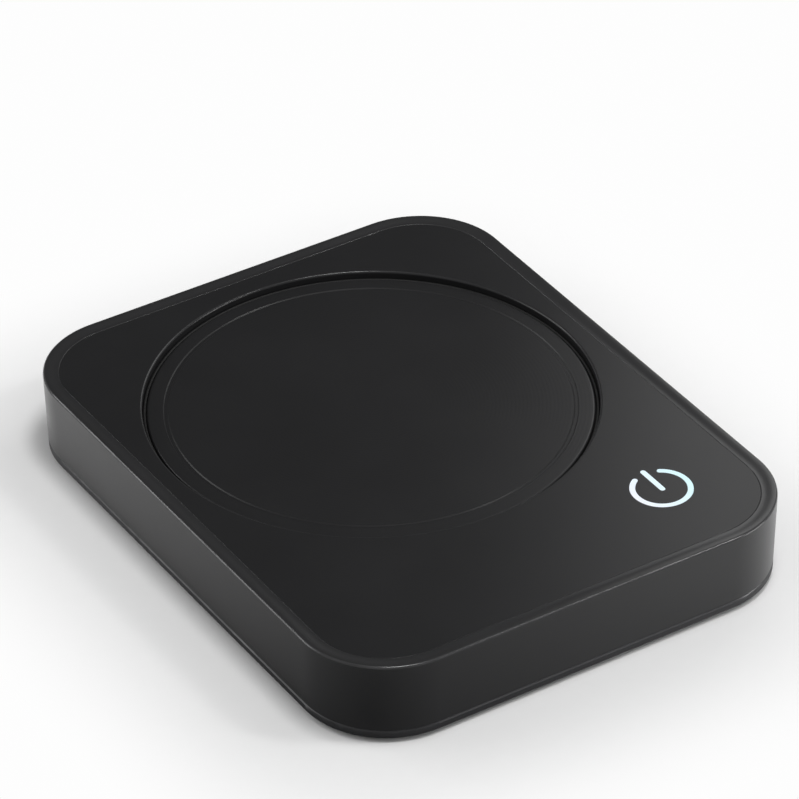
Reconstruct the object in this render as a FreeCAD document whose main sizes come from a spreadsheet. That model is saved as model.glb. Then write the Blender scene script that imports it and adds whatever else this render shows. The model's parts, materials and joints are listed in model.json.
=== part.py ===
"""Electric mug warmer: a flat rounded slab with a round heated seat and a lit touch mark.

X runs across the slab, Y from the user's side to the rear, Z up. The origin lies on the
table under the middle of the slab. All sizes are in millimetres.
"""
import FreeCAD, Part
import math
import os
import Sketcher
from FreeCAD import Placement, Rotation, Vector

DRIVING_SIZES = {
    # Outer body
    "seat_radius": 45.1,
    "side_margin": 6.9,
    "rear_margin": 7.9,
    "front_strip": 31.9,
    "corner_radius": 18.5,
    "wall_draft": 0.4,
    "wall": 2.2,
    "edge_fillet": 0.5,
    "rim_width": 3.2,
    "rim_step": 0.3,
    "rim_fillet": 0.25,
    "panel_thickness": 1.6,
    "panel_clearance": 0.1,
    "deck_thickness": 2.0,
    # Round seat for the mug
    "seat_depth": 1.2,
    "seat_lip_fillet": 0.5,
    "seal_lip": 0.6,
    "seal_thickness": 0.8,
    "seal_clearance": 0.1,
    "seal_lip_drop": 0.3,
    "flange_thickness": 1.2,
    "plate_shoulder": 5.3,
    "plate_body_thickness": 2.6,
    "plate_edge_fillet": 0.6,
    "plate_groove_place": 0.7,
    "plate_groove_width": 0.8,
    "plate_groove_depth": 0.2,
    "well_clearance": 0.7,
    "collar_wall": 2.0,
    "collar_thickness": 1.8,
    # Heater stack under the plate
    "mica_thickness": 0.4,
    "mica_margin": 1.0,
    "element_thickness": 0.3,
    "element_margin": 3.3,
    "track_width": 2.0,
    "track_gap": 1.6,
    "pad_thickness": 3.2,
    "pad_margin": 1.4,
    "sensor_hole_radius": 2.7,
    "clamp_thickness": 1.0,
    "clamp_margin": 1.8,
    "clamp_bead_place": 16.0,
    "clamp_bead_width": 5.0,
    "clamp_bead_depth": 0.9,
    "boss_gap": 1.4,
    "clamp_ear_angle": 35.0,
    "clamp_arm_overlap": 2.0,
    "clamp_ear_width": 8.6,
    "lead_notch_width": 5.0,
    # Thermistor, thermal fuse and their leads
    "sensor_head_radius": 2.5,
    "sensor_stem_radius": 1.5,
    "sensor_stem_length": 1.6,
    "sensor_lead_radius": 0.45,
    "sensor_lead_pitch": 1.6,
    "sensor_lead_bend": 1.6,
    "lead_spacing": 24.0,
    "lead_radius": 1.0,
    "lead_lift": 0.2,
    "tab_width": 4.0,
    "tab_thickness": 0.5,
    "tab_place": 2.0,
    "fuse_radius": 1.3,
    "fuse_length": 9.0,
    "sleeve_radius": 1.8,
    "sleeve_length": 13.0,
    "sleeve_clearance": 0.1,
    "fuse_margin": 3.0,
    "terminal_depth": 2.5,
    "terminal_face": 28.0,
    # Base plate, feet and screws
    "foot_proud": 0.8,
    "foot_radius": 6.0,
    "foot_thickness": 1.8,
    "foot_fillet": 0.4,
    "foot_clearance": 0.2,
    "foot_inset_x": 14.0,
    "foot_inset_y": 27.0,
    "base_edge": 1.8,
    "base_floor": 2.0,
    "base_fillet": 0.6,
    "seam_chamfer": 0.3,
    "base_lip_height": 3.0,
    "base_lip_thickness": 1.6,
    "base_lip_clearance": 0.2,
    "post_inset": 10.5,
    "post_radius": 3.5,
    "screw_boss_radius": 4.2,
    "screw_boss_height": 1.8,
    "screw_radius": 1.3,
    "screw_clearance": 0.2,
    "thread_clearance": 0.05,
    "screw_head_radius": 2.5,
    "screw_head_height": 1.5,
    "screw_head_sink": 0.5,
    "base_screw_length": 8.0,
    "clamp_screw_length": 5.5,
    "board_screw_length": 4.0,
    "driver_recess": 0.8,
    "driver_slot": 0.5,
    "screw_head_fillet": 0.5,
    "gusset_thickness": 1.0,
    "gusset_height": 5.0,
    "vent_length": 26.0,
    "vent_width": 2.0,
    "vent_pitch": 6.0,
    "vent_field": 20.0,
    "rib_height": 1.2,
    "rib_thickness": 1.2,
    "rib_place": 27.0,
    "rib_corner": 6.0,
    # Cord gland in the rear wall
    "gland_gap": 0.25,
    "gland_radius": 3.2,
    "gland_bore_radius": 2.5,
    "gland_flange_thickness": 1.2,
    "gland_inset": 0.5,
    "gland_clearance": 0.1,
    # Touch mark, its light guide and hood
    "mark_inset_x": 21.1,
    "mark_inset_y": 21.4,
    "mark_radius": 5.63,
    "mark_stroke": 1.1,
    "mark_gap_angle": 31.0,
    "mark_bar_length": 7.6,
    "mark_bar_offset": 2.95,
    "mark_clearance": 0.05,
    "guide_radius": 8.6,
    "guide_thickness": 1.8,
    "guide_clearance": 0.2,
    "hood_wall": 1.0,
    "hood_radius": 8.4,
    "spring_radius": 2.8,
    "spring_wire": 0.25,
    "spring_turns": 5.0,
    "spring_end_gap": 0.05,
    "lamp_ring_radius": 5.6,
    # Control board
    "board_thickness": 1.6,
    "board_standoff": 1.2,
    "board_edge_gap": 1.6,
    "board_depth": 34.0,
    "board_well_gap": 1.7,
    "board_notch_gap": 1.0,
    "board_side_screw_inset": 10.0,
    "board_side_screw_place": 29.0,
    "board_front_screw_place": 9.0,
    "standoff_radius": 2.5,
    # Board components: places are from the middle line or the left wall, and from the front
    "chip_x": -1.0,
    "chip_y": 16.5,
    "chip_width": 9.9,
    "chip_depth": 3.9,
    "chip_height": 1.5,
    "chip_lift": 0.1,
    "chip_round": 0.2,
    "leg_pitch": 1.27,
    "leg_width": 0.4,
    "leg_foot": 1.0,
    "leg_thickness": 0.2,
    "leg_rise": 0.8,
    "triac_x": 11.0,
    "triac_y": 11.0,
    "triac_width": 7.8,
    "triac_depth": 8.0,
    "triac_height": 2.7,
    "triac_round": 0.4,
    "triac_tab_depth": 3.6,
    "triac_tab_thickness": 1.2,
    "triac_hole_radius": 1.3,
    "fuse_can_inset": 19.5,
    "fuse_can_y": 17.5,
    "fuse_can_radius": 3.5,
    "fuse_can_height": 6.8,
    "fuse_can_round": 0.6,
    "film_inset": 23.0,
    "film_y": 9.7,
    "film_width": 14.0,
    "film_depth": 6.2,
    "film_height": 7.6,
    "film_round": 0.5,
    "varistor_x": -19.5,
    "varistor_y": 18.5,
    "varistor_radius": 3.0,
    "varistor_height": 3.6,
    "varistor_round": 1.2,
    "can_x": -16.0,
    "can_y": 10.0,
    "can_radius": 3.5,
    "can_length": 11.5,
    "can_crimp_place": 9.1,
    "can_crimp_radius": 0.5,
    "can_crimp_lift": 0.1,
    "inlet_block_inset": 21.0,
    "inlet_block_y": 26.8,
    "inlet_block_width": 10.0,
    "inlet_block_depth": 7.5,
    "inlet_block_height": 7.2,
    "inlet_block_round": 0.4,
    "inlet_pitch": 5.0,
    "inlet_mouth_radius": 1.4,
    "inlet_mouth_height": 2.6,
    "inlet_well_radius": 1.7,
    "inlet_well_depth": 2.6,
    "terminal_width": 6.5,
    "terminal_length": 8.0,
    "terminal_height": 5.8,
    "terminal_round": 0.4,
    "socket_width": 6.0,
    "socket_length": 6.0,
    "socket_height": 4.5,
    "socket_round": 0.3,
    "lamp_width": 1.6,
    "lamp_height": 0.8,
    "lamp_round": 0.2,
}

# Heights and reaches that follow from the driving sizes
WORKED_OUT = {
    "body_width": "2 * (size.seat_radius + size.side_margin)",
    "body_depth": "size.rear_margin + 2 * size.seat_radius + size.front_strip",
    "seat_y": "body_depth / 2 - size.rear_margin - size.seat_radius",
    "left": "-body_width / 2",
    "front": "-body_depth / 2",
    "post_x": "body_width / 2 - size.post_inset",
    "post_y": "body_depth / 2 - size.post_inset",
    "foot_x": "body_width / 2 - size.foot_inset_x",
    "foot_y": "body_depth / 2 - size.foot_inset_y",
    "plate_body": "size.seat_radius - size.plate_shoulder",
    "groove": "plate_body + size.plate_groove_place",
    "collar": "size.seat_radius + size.collar_wall",
    "mica": "plate_body - size.mica_margin",
    "element": "plate_body - size.element_margin",
    "pad": "plate_body - size.pad_margin",
    "clamp": "plate_body - size.clamp_margin",
    "bead": "clamp - size.clamp_bead_place",
    "tab_reach": "bead + size.tab_place",
    "ear_reach": "collar + size.post_radius + size.boss_gap",
    "ear_x": "ear_reach * cos(size.clamp_ear_angle * 1deg)",
    "ear_y": "ear_reach * sin(size.clamp_ear_angle * 1deg)",
    "board_screw_x": "body_width / 2 - size.board_side_screw_inset",
    "board_screw_y": "front + size.board_side_screw_place",
    "board_front_screw_y": "front + size.board_front_screw_place",
    "terminal_face": "front + size.terminal_face",
    "base_bottom": "size.foot_proud",
    "seam": "base_bottom + size.base_edge",
    "floor_top": "base_bottom + size.base_floor",
    "post_bottom": "floor_top + size.screw_boss_height",
    "board_bottom": "floor_top + size.board_standoff",
    "board_top": "board_bottom + size.board_thickness",
    "lead_height": "board_top + size.lead_lift + size.lead_radius",
    "clamp_bottom": "lead_height + size.sleeve_radius",
    "clamp_top": "clamp_bottom + size.clamp_thickness",
    "lower_mica_bottom": "clamp_top + size.pad_thickness",
    "element_bottom": "lower_mica_bottom + size.mica_thickness",
    "upper_mica_bottom": "element_bottom + size.element_thickness",
    "plate_bottom": "upper_mica_bottom + size.mica_thickness",
    "plate_top": "plate_bottom + size.plate_body_thickness",
    "panel_top": "plate_top + size.seat_depth",
    "rim_top": "panel_top + size.rim_step",
    "deck_top": "panel_top - size.panel_thickness",
    "deck_bottom": "deck_top - size.deck_thickness",
    "flange_bottom": "plate_top - size.flange_thickness",
    "ledge_top": "flange_bottom - size.seal_thickness",
    "collar_bottom": "ledge_top - size.collar_thickness",
    "lip_top": "seam + size.base_lip_height",
    "gland_flange": "(deck_bottom - lip_top) / 2 - size.gland_gap",
    "gland_height": "lip_top + size.gland_gap + gland_flange",
    "inner_width": "body_width - 2 * size.wall_draft - 2 * size.wall",
    "inner_depth": "body_depth - 2 * size.wall_draft - 2 * size.wall",
    "inner_corner": "size.corner_radius - size.wall_draft - size.wall",
    "flange_radius": "size.seat_radius - size.seal_lip - 2 * size.seal_clearance",
    "well_radius": "plate_body + size.well_clearance",
    "mark_x": "body_width / 2 - size.mark_inset_x",
    "mark_y": "front + size.mark_inset_y",
    "guide_bottom": "deck_top - size.guide_thickness",
    "pilot_radius": "size.screw_radius + size.thread_clearance",
    "sensor_bottom": "clamp_bottom - size.sensor_stem_length + size.clamp_thickness",
    "sensor_lead_height": "sensor_bottom - size.sensor_lead_bend",
}

doc = FreeCAD.newDocument("mug_warmer")


def make_sheet(name, cells):
    """A spreadsheet with one named cell for each entry."""
    sheet = doc.addObject("Spreadsheet::Sheet", name)
    for row, (alias, content) in enumerate(cells.items(), 1):
        sheet.set(f"A{row}", alias)
        sheet.set(f"B{row}", content)
        sheet.setAlias(f"B{row}", alias)
    return sheet


size_sheet = make_sheet("size", {alias: str(number) for alias, number in DRIVING_SIZES.items()})
doc.recompute()
level_sheet = make_sheet("level", {alias: "=" + formula for alias, formula in WORKED_OUT.items()})
doc.recompute()

UP = Vector(0, 0, 1)
pieces = []


def value(formula):
    """The number that a formula over the two sheets gives now."""
    result = level_sheet.evalExpression(str(formula))
    return float(getattr(result, "Value", result))


def new_body(label):
    """An empty body for one piece of the product."""
    body = doc.addObject("PartDesign::Body", label)
    body.Label = label
    pieces.append(body)
    return body


def new_sketch(body, name, height="0", x="0", y="0", role="XY_Plane"):
    """A sketch on one of the body's own origin planes, moved along and off that plane."""
    sketch = body.newObject("Sketcher::SketchObject", name)
    plane = next(item for item in body.Origin.OriginFeatures if item.Role == role)
    sketch.AttachmentSupport = [(plane, "")]
    sketch.MapMode = "FlatFace"
    for axis, formula in (("x", x), ("y", y), ("z", height)):
        sketch.setExpression(f".AttachmentOffset.Base.{axis}", formula)
    return sketch


def limit(sketch, kind, places, formula):
    """Adds one size to a sketch and ties it to its formula."""
    index = sketch.addConstraint(Sketcher.Constraint(kind, *places, value(formula)))
    sketch.setExpression(f"Constraints[{index}]", formula)


def add_circle(sketch, radius, x="0", y="0"):
    """A circle with its centre at x, y of the sketch."""
    centre = Vector(value(x), value(y), 0)
    circle = sketch.addGeometry(Part.Circle(centre, UP, value(radius)))
    limit(sketch, "Radius", (circle,), radius)
    limit(sketch, "DistanceX", (-1, 1, circle, 3), x)
    limit(sketch, "DistanceY", (-1, 1, circle, 3), y)


def add_polygon(sketch, corners):
    """A closed outline of straight lines through corners given as pairs of formulas."""
    points = [Vector(value(x), value(y), 0) for x, y in corners]
    lines = []
    for start, end in zip(points, points[1:] + points[:1]):
        lines.append(sketch.addGeometry(Part.LineSegment(start, end)))
    for line, following in zip(lines, lines[1:] + lines[:1]):
        sketch.addConstraint(Sketcher.Constraint("Coincident", line, 2, following, 1))
    for line, (x, y) in zip(lines, corners):
        limit(sketch, "DistanceX", (-1, 1, line, 1), x)
        limit(sketch, "DistanceY", (-1, 1, line, 1), y)


def add_rectangle(sketch, width, depth, x="0", y="0"):
    """A rectangle with its middle at x, y."""
    left, right = f"{x} - ({width}) / 2", f"{x} + ({width}) / 2"
    front, rear = f"{y} - ({depth}) / 2", f"{y} + ({depth}) / 2"
    add_polygon(sketch, [(left, front), (right, front), (right, rear), (left, rear)])


def add_rounded_rectangle(sketch, width, depth, radius):
    """A rectangle about the sketch's origin with tangent corner arcs."""
    half_x, half_y, turn = value(width) / 2, value(depth) / 2, value(radius)
    reach_x, reach_y = half_x - turn, half_y - turn
    ends = [
        (Vector(-reach_x, -half_y, 0), Vector(reach_x, -half_y, 0), Vector(reach_x, -reach_y, 0)),
        (Vector(half_x, -reach_y, 0), Vector(half_x, reach_y, 0), Vector(reach_x, reach_y, 0)),
        (Vector(reach_x, half_y, 0), Vector(-reach_x, half_y, 0), Vector(-reach_x, reach_y, 0)),
        (Vector(-half_x, reach_y, 0), Vector(-half_x, -reach_y, 0), Vector(-reach_x, -reach_y, 0)),
    ]
    lines, arcs = [], []
    for side, (start, end, centre) in enumerate(ends):
        first_angle = math.radians(90 * side - 90)
        circle = Part.Circle(centre, UP, turn)
        lines.append(sketch.addGeometry(Part.LineSegment(start, end)))
        arcs.append(sketch.addGeometry(Part.ArcOfCircle(circle, first_angle, first_angle + math.pi / 2)))
    for side in range(4):
        following = lines[(side + 1) % 4]
        sketch.addConstraint(Sketcher.Constraint("Tangent", lines[side], 2, arcs[side], 1))
        sketch.addConstraint(Sketcher.Constraint("Tangent", arcs[side], 2, following, 1))
        sketch.addConstraint(Sketcher.Constraint(("Horizontal", "Vertical")[side % 2], lines[side]))
    for arc in arcs[1:]:
        sketch.addConstraint(Sketcher.Constraint("Equal", arcs[0], arc))
    limit(sketch, "Radius", (arcs[0],), radius)
    limit(sketch, "DistanceX", (-1, 1, lines[1], 1), f"({width}) / 2")
    limit(sketch, "DistanceX", (-1, 1, lines[3], 1), f"-({width}) / 2")
    limit(sketch, "DistanceY", (-1, 1, lines[0], 1), f"-({depth}) / 2")
    limit(sketch, "DistanceY", (-1, 1, lines[2], 1), f"({depth}) / 2")


def add_slot(sketch, length, width, x="0", y="0"):
    """A slot along the sketch's Y, with half-round ends and its middle at x, y."""
    half, radius = (value(length) - value(width)) / 2, value(width) / 2
    place = Vector(value(x), value(y), 0)
    upper = Part.ArcOfCircle(Part.Circle(place + Vector(0, half, 0), UP, radius), 0, math.pi)
    lower = Part.ArcOfCircle(Part.Circle(place - Vector(0, half, 0), UP, radius), math.pi, 2 * math.pi)
    left = Part.LineSegment(place + Vector(-radius, half, 0), place + Vector(-radius, -half, 0))
    right = Part.LineSegment(place + Vector(radius, -half, 0), place + Vector(radius, half, 0))
    top, left_line, bottom, right_line = (sketch.addGeometry(item) for item in (upper, left, lower, right))
    for first, second in ((top, left_line), (left_line, bottom), (bottom, right_line), (right_line, top)):
        sketch.addConstraint(Sketcher.Constraint("Tangent", first, 2, second, 1))
    sketch.addConstraint(Sketcher.Constraint("Vertical", left_line))
    limit(sketch, "Radius", (top,), f"({width}) / 2")
    limit(sketch, "DistanceX", (-1, 1, top, 3), x)
    limit(sketch, "DistanceY", (-1, 1, top, 3), f"{y} + ({length} - ({width})) / 2")
    limit(sketch, "DistanceY", (-1, 1, bottom, 3), f"{y} - ({length} - ({width})) / 2")


def add_open_ring(sketch, radius, stroke, gap_angle):
    """A broken ring with half-round ends, open towards the sketch's +Y."""
    middle, half = value(radius), value(stroke) / 2
    gap = math.radians(value(gap_angle))
    start, end = math.pi / 2 + gap, math.pi * 5 / 2 - gap
    ends = [Vector(middle * math.cos(angle), middle * math.sin(angle), 0) for angle in (start, end)]
    outer = sketch.addGeometry(Part.ArcOfCircle(Part.Circle(Vector(), UP, middle + half), start, end))
    inner = sketch.addGeometry(Part.ArcOfCircle(Part.Circle(Vector(), UP, middle - half), start, end))
    first = sketch.addGeometry(Part.ArcOfCircle(Part.Circle(ends[0], UP, half), start - math.pi, start))
    last = sketch.addGeometry(Part.ArcOfCircle(Part.Circle(ends[1], UP, half), end, end + math.pi))
    for arc in (outer, inner):
        sketch.addConstraint(Sketcher.Constraint("Coincident", arc, 3, -1, 1))
    sketch.addConstraint(Sketcher.Constraint("Tangent", first, 2, outer, 1))
    sketch.addConstraint(Sketcher.Constraint("Tangent", first, 1, inner, 1))
    sketch.addConstraint(Sketcher.Constraint("Tangent", last, 1, outer, 2))
    sketch.addConstraint(Sketcher.Constraint("Tangent", last, 2, inner, 2))
    limit(sketch, "Radius", (outer,), f"{radius} + ({stroke}) / 2")
    limit(sketch, "Radius", (inner,), f"{radius} - ({stroke}) / 2")
    limit(sketch, "DistanceX", (first, 3, -1, 1), f"{radius} * sin({gap_angle} * 1deg)")
    limit(sketch, "DistanceX", (-1, 1, last, 3), f"{radius} * sin({gap_angle} * 1deg)")


def pad(body, sketch, length):
    """Adds material upwards from the sketch and stops if nothing is added."""
    before = body.Shape.Volume if body.Tip else 0
    feature = body.newObject("PartDesign::Pad", sketch.Name + "_pad")
    feature.Profile = sketch
    feature.setExpression("Length", length)
    doc.recompute()
    if not body.Shape.Volume > before + 1e-3:
        raise RuntimeError(f"{feature.Name} of {body.Label} adds nothing")
    return feature


def cut(body, feature_type, sketch, **settings):
    """Adds a cutting feature and stops if it takes nothing away."""
    before = body.Shape.Volume
    feature = body.newObject(feature_type, sketch.Name + "_cut")
    feature.Profile = sketch
    for name, setting in settings.items():
        if isinstance(setting, str):
            feature.setExpression(name, setting)
        else:
            setattr(feature, name, setting)
    doc.recompute()
    if not body.Shape.Volume < before:
        raise RuntimeError(f"{feature.Name} of {body.Label} cuts nothing")
    return feature


def pocket(body, sketch, depth):
    """Cuts downwards from the sketch."""
    return cut(body, "PartDesign::Pocket", sketch, Length=depth)


def revolve(body, name, corners, turn_axis_y="0"):
    """Turns an outline in the XZ plane a full turn about an upright axis at that Y."""
    sketch = new_sketch(body, name, height=f"-({turn_axis_y})", role="XZ_Plane")
    add_polygon(sketch, corners)
    feature = body.newObject("PartDesign::Revolution", name + "_turn")
    feature.Profile = sketch
    feature.ReferenceAxis = (sketch, ["V_Axis"])
    feature.Angle = 360
    doc.recompute()
    return feature


def level_edges(shape, formula, test=lambda edge: True):
    """Names of the edges that lie flat at one height and pass the test."""
    height = value(formula)
    names = []
    for index, edge in enumerate(shape.Edges, 1):
        box = edge.BoundBox
        if abs(box.ZMin - height) < 1e-4 and abs(box.ZMax - height) < 1e-4 and test(edge):
            names.append(f"Edge{index}")
    return names


def dress(body, kind, edges, amount):
    """Rounds (Fillet) or bevels (Chamfer) edges of the body's last feature."""
    base = body.Tip
    feature = body.newObject(f"PartDesign::{kind}", f"{body.Name}_{kind}")
    feature.Base = (base, edges)
    feature.setExpression("Radius" if kind == "Fillet" else "Size", amount)
    doc.recompute()
    return feature


def reach_from(x, y):
    """A function that gives how far an edge's middle lies from an upright axis."""
    def reach(edge):
        middle = edge.BoundBox.Center
        return math.hypot(middle.x - value(x), middle.y - value(y))
    return reach


def is_round(radius, x="0", y="0"):
    """A test for full circles of one radius about an upright axis."""
    def test(edge):
        box = edge.BoundBox
        same_size = abs(box.XLength / 2 - value(radius)) < 1e-3
        return same_size and reach_from(x, y)(edge) < 1e-3
    return test


def group(label, solids):
    """One piece made of several separate solids."""
    feature = doc.addObject("Part::Feature", label)
    feature.Label = label
    feature.Shape = Part.makeCompound(solids)
    pieces.append(feature)
    return feature


CORNERS = [(1, 1), (-1, 1), (-1, -1), (1, -1)]
SEAT = "level.seat_y"
BOARD_SCREWS = [
    ("-level.board_screw_x", "level.board_screw_y"),
    ("level.board_screw_x", "level.board_screw_y"),
    ("0", "level.board_front_screw_y"),
]


def make_top_housing():
    """The moulded shell: drafted walls, rim band, dished deck, seat ledge and screw posts."""
    body = new_body("top_housing")
    foot = new_sketch(body, "housing_foot", "level.seam")
    foot_draft = "2 * size.wall_draft"
    add_rounded_rectangle(foot, f"level.body_width - {foot_draft}", f"level.body_depth - {foot_draft}",
                          "size.corner_radius - size.wall_draft")
    walls = pad(body, foot, "level.rim_top - level.seam")
    walls.setExpression("TaperAngle", "atan(size.wall_draft / (level.rim_top - level.seam))")
    doc.recompute()
    dress(body, "Fillet", level_edges(body.Shape, "level.rim_top"), "size.edge_fillet")
    dress(body, "Chamfer", level_edges(body.Shape, "level.seam"), "size.seam_chamfer")

    hollow = new_sketch(body, "housing_hollow", "level.deck_bottom")
    add_rounded_rectangle(hollow, "level.inner_width", "level.inner_depth", "level.inner_corner")
    pocket(body, hollow, "level.deck_bottom - level.seam")
    dish = new_sketch(body, "panel_dish", "level.rim_top")
    add_rounded_rectangle(dish, "level.body_width - 2 * size.rim_width", "level.body_depth - 2 * size.rim_width",
                          "size.corner_radius - size.rim_width")
    pocket(body, dish, "level.rim_top - level.deck_top")
    rim_edges = level_edges(body.Shape, "level.rim_top", lambda edge: reach_inside_rim(edge))
    dress(body, "Fillet", rim_edges, "size.rim_fillet")

    collar = new_sketch(body, "seat_collar", "level.collar_bottom", y=SEAT)
    add_circle(collar, "level.collar")
    pad(body, collar, "level.deck_bottom - level.collar_bottom")
    well = new_sketch(body, "seat_well", "level.deck_top", y=SEAT)
    add_circle(well, "size.seat_radius")
    pocket(body, well, "level.deck_top - level.ledge_top")
    throat = new_sketch(body, "seat_throat", "level.ledge_top", y=SEAT)
    add_circle(throat, "level.well_radius")
    pocket(body, throat, "level.ledge_top - level.collar_bottom")

    posts = new_sketch(body, "screw_posts", "level.post_bottom")
    gussets_x = new_sketch(body, "gussets_across", "level.deck_bottom - size.gusset_height")
    gussets_y = new_sketch(body, "gussets_along", "level.deck_bottom - size.gusset_height")
    for side_x, side_y in CORNERS:
        add_circle(posts, "size.post_radius", f"{side_x} * level.post_x", f"{side_y} * level.post_y")
        reach_x = "(level.inner_width / 2 + size.wall / 2 - level.post_x)"
        reach_y = "(level.inner_depth / 2 + size.wall / 2 - level.post_y)"
        add_rectangle(gussets_x, reach_x, "size.gusset_thickness",
                      f"{side_x} * (level.post_x + {reach_x} / 2)", f"{side_y} * level.post_y")
        add_rectangle(gussets_y, "size.gusset_thickness", reach_y,
                      f"{side_x} * level.post_x", f"{side_y} * (level.post_y + {reach_y} / 2)")
    pad(body, posts, "level.deck_bottom - level.post_bottom")
    pad(body, gussets_x, "size.gusset_height")
    pad(body, gussets_y, "size.gusset_height")
    bosses = new_sketch(body, "clamp_bosses", "level.clamp_top", y=SEAT)
    for side_x, side_y in CORNERS:
        add_circle(bosses, "size.post_radius", f"{side_x} * level.ear_x", f"{side_y} * level.ear_y")
    pad(body, bosses, "level.deck_bottom - level.clamp_top")

    pilots = new_sketch(body, "post_pilots", "level.deck_bottom")
    for side_x, side_y in CORNERS:
        add_circle(pilots, "level.pilot_radius", f"{side_x} * level.post_x", f"{side_y} * level.post_y")
    pocket(body, pilots, "level.deck_bottom - level.post_bottom")
    boss_pilots = new_sketch(body, "boss_pilots", "level.deck_bottom + size.deck_thickness / 2", y=SEAT)
    for side_x, side_y in CORNERS:
        add_circle(boss_pilots, "level.pilot_radius", f"{side_x} * level.ear_x", f"{side_y} * level.ear_y")
    pocket(body, boss_pilots, "level.deck_bottom + size.deck_thickness / 2 - level.clamp_top")
    window = new_sketch(body, "light_window", "level.deck_top", x="level.mark_x", y="level.mark_y")
    add_circle(window, "size.guide_radius + size.guide_clearance")
    pocket(body, window, "size.deck_thickness")

    inlet = new_sketch(body, "cord_inlet", "-(level.body_depth / 2 + 1)", x="0", y="level.gland_height",
                       role="XZ_Plane")
    add_circle(inlet, "size.gland_radius + size.gland_clearance")
    cut(body, "PartDesign::Pocket", inlet, Length="size.wall + size.wall_draft + 2", Reversed=True)
    return body


def reach_inside_rim(edge):
    """True for an edge of the panel dish, not of the outer edge rounding."""
    box = edge.BoundBox
    half_width = value("level.body_width / 2 - size.rim_width") + 1e-3
    half_depth = value("level.body_depth / 2 - size.rim_width") + 1e-3
    return max(abs(box.XMin), abs(box.XMax)) < half_width and max(abs(box.YMin), abs(box.YMax)) < half_depth


def make_top_panel():
    """The thin panel in the rim, with the round seat opening and the slots of the touch mark."""
    body = new_body("top_panel")
    outline = new_sketch(body, "panel_outline", "level.deck_top")
    trim = "2 * (size.rim_width + size.panel_clearance)"
    add_rounded_rectangle(outline, f"level.body_width - {trim}", f"level.body_depth - {trim}",
                          "size.corner_radius - size.rim_width - size.panel_clearance")
    pad(body, outline, "size.panel_thickness")
    opening = new_sketch(body, "panel_opening", "level.panel_top", y=SEAT)
    add_circle(opening, "size.seat_radius")
    pocket(body, opening, "size.panel_thickness")
    lip = level_edges(body.Shape, "level.panel_top", is_round("size.seat_radius", y=SEAT))
    dress(body, "Fillet", lip, "size.seat_lip_fillet")
    ring = new_sketch(body, "mark_ring_slot", "level.panel_top", x="level.mark_x", y="level.mark_y")
    add_open_ring(ring, "size.mark_radius", "size.mark_stroke + 2 * size.mark_clearance", "size.mark_gap_angle")
    pocket(body, ring, "size.panel_thickness")
    bar = new_sketch(body, "mark_bar_slot", "level.panel_top", x="level.mark_x",
                     y="level.mark_y + size.mark_bar_offset")
    add_slot(bar, "size.mark_bar_length + 2 * size.mark_clearance",
             "size.mark_stroke + 2 * size.mark_clearance")
    pocket(body, bar, "size.panel_thickness")
    return body


def make_light_guide():
    """The clear guide under the panel, whose raised strokes fill the slots of the touch mark."""
    body = new_body("symbol_light_guide")
    disc = new_sketch(body, "guide_disc", "level.guide_bottom", x="level.mark_x", y="level.mark_y")
    add_circle(disc, "size.guide_radius")
    pad(body, disc, "size.guide_thickness")
    ring = new_sketch(body, "guide_ring", "level.deck_top", x="level.mark_x", y="level.mark_y")
    add_open_ring(ring, "size.mark_radius", "size.mark_stroke", "size.mark_gap_angle")
    pad(body, ring, "size.panel_thickness")
    bar = new_sketch(body, "guide_bar", "level.deck_top", x="level.mark_x",
                     y="level.mark_y + size.mark_bar_offset")
    add_slot(bar, "size.mark_bar_length", "size.mark_stroke")
    pad(body, bar, "size.panel_thickness")
    return body


def make_plate_seal():
    """The silicone ring under and round the plate's flange."""
    body = new_body("plate_seal")
    inner = "level.well_radius"
    lip_inside = "size.seat_radius - size.seal_clearance - size.seal_lip"
    outside = "size.seat_radius - size.seal_clearance"
    lip_top = "level.plate_top - size.seal_lip_drop"
    revolve(body, "seal_section", [
        (inner, "level.ledge_top"),
        (outside, "level.ledge_top"),
        (outside, lip_top),
        (lip_inside, lip_top),
        (lip_inside, "level.flange_bottom"),
        (inner, "level.flange_bottom"),
    ], SEAT)
    return body


def make_heating_plate():
    """The cast plate that the mug stands on: flange, body and a shallow ring groove."""
    body = new_body("heating_plate")
    revolve(body, "plate_section", [
        ("0", "level.plate_bottom"),
        ("level.plate_body", "level.plate_bottom"),
        ("level.plate_body", "level.flange_bottom"),
        ("level.flange_radius", "level.flange_bottom"),
        ("level.flange_radius", "level.plate_top"),
        ("0", "level.plate_top"),
    ], SEAT)
    rim = level_edges(body.Shape, "level.plate_top")
    dress(body, "Fillet", rim, "size.plate_edge_fillet")
    groove = new_sketch(body, "plate_groove", "level.plate_top", y=SEAT)
    add_circle(groove, "level.groove + size.plate_groove_width / 2")
    add_circle(groove, "level.groove - size.plate_groove_width / 2")
    pocket(body, groove, "size.plate_groove_depth")
    return body


def make_disc(label, radius, bottom, thickness, hole="size.sensor_hole_radius", notched=False):
    """A flat disc of the heater stack with the sensor's hole, and the notches for the heater's tabs."""
    body = new_body(label)
    outline = new_sketch(body, label + "_outline", bottom, y=SEAT)
    add_circle(outline, radius)
    add_circle(outline, hole)
    pad(body, outline, thickness)
    if notched:
        notches = new_sketch(body, label + "_notches", f"{bottom} + {thickness}", y=SEAT)
        for side in (-1, 1):
            add_rectangle(notches, "size.lead_notch_width", "size.lead_notch_width / 2",
                          f"{side} * size.lead_spacing / 2", "-level.tab_reach")
        pocket(body, notches, thickness)
    return body


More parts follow.
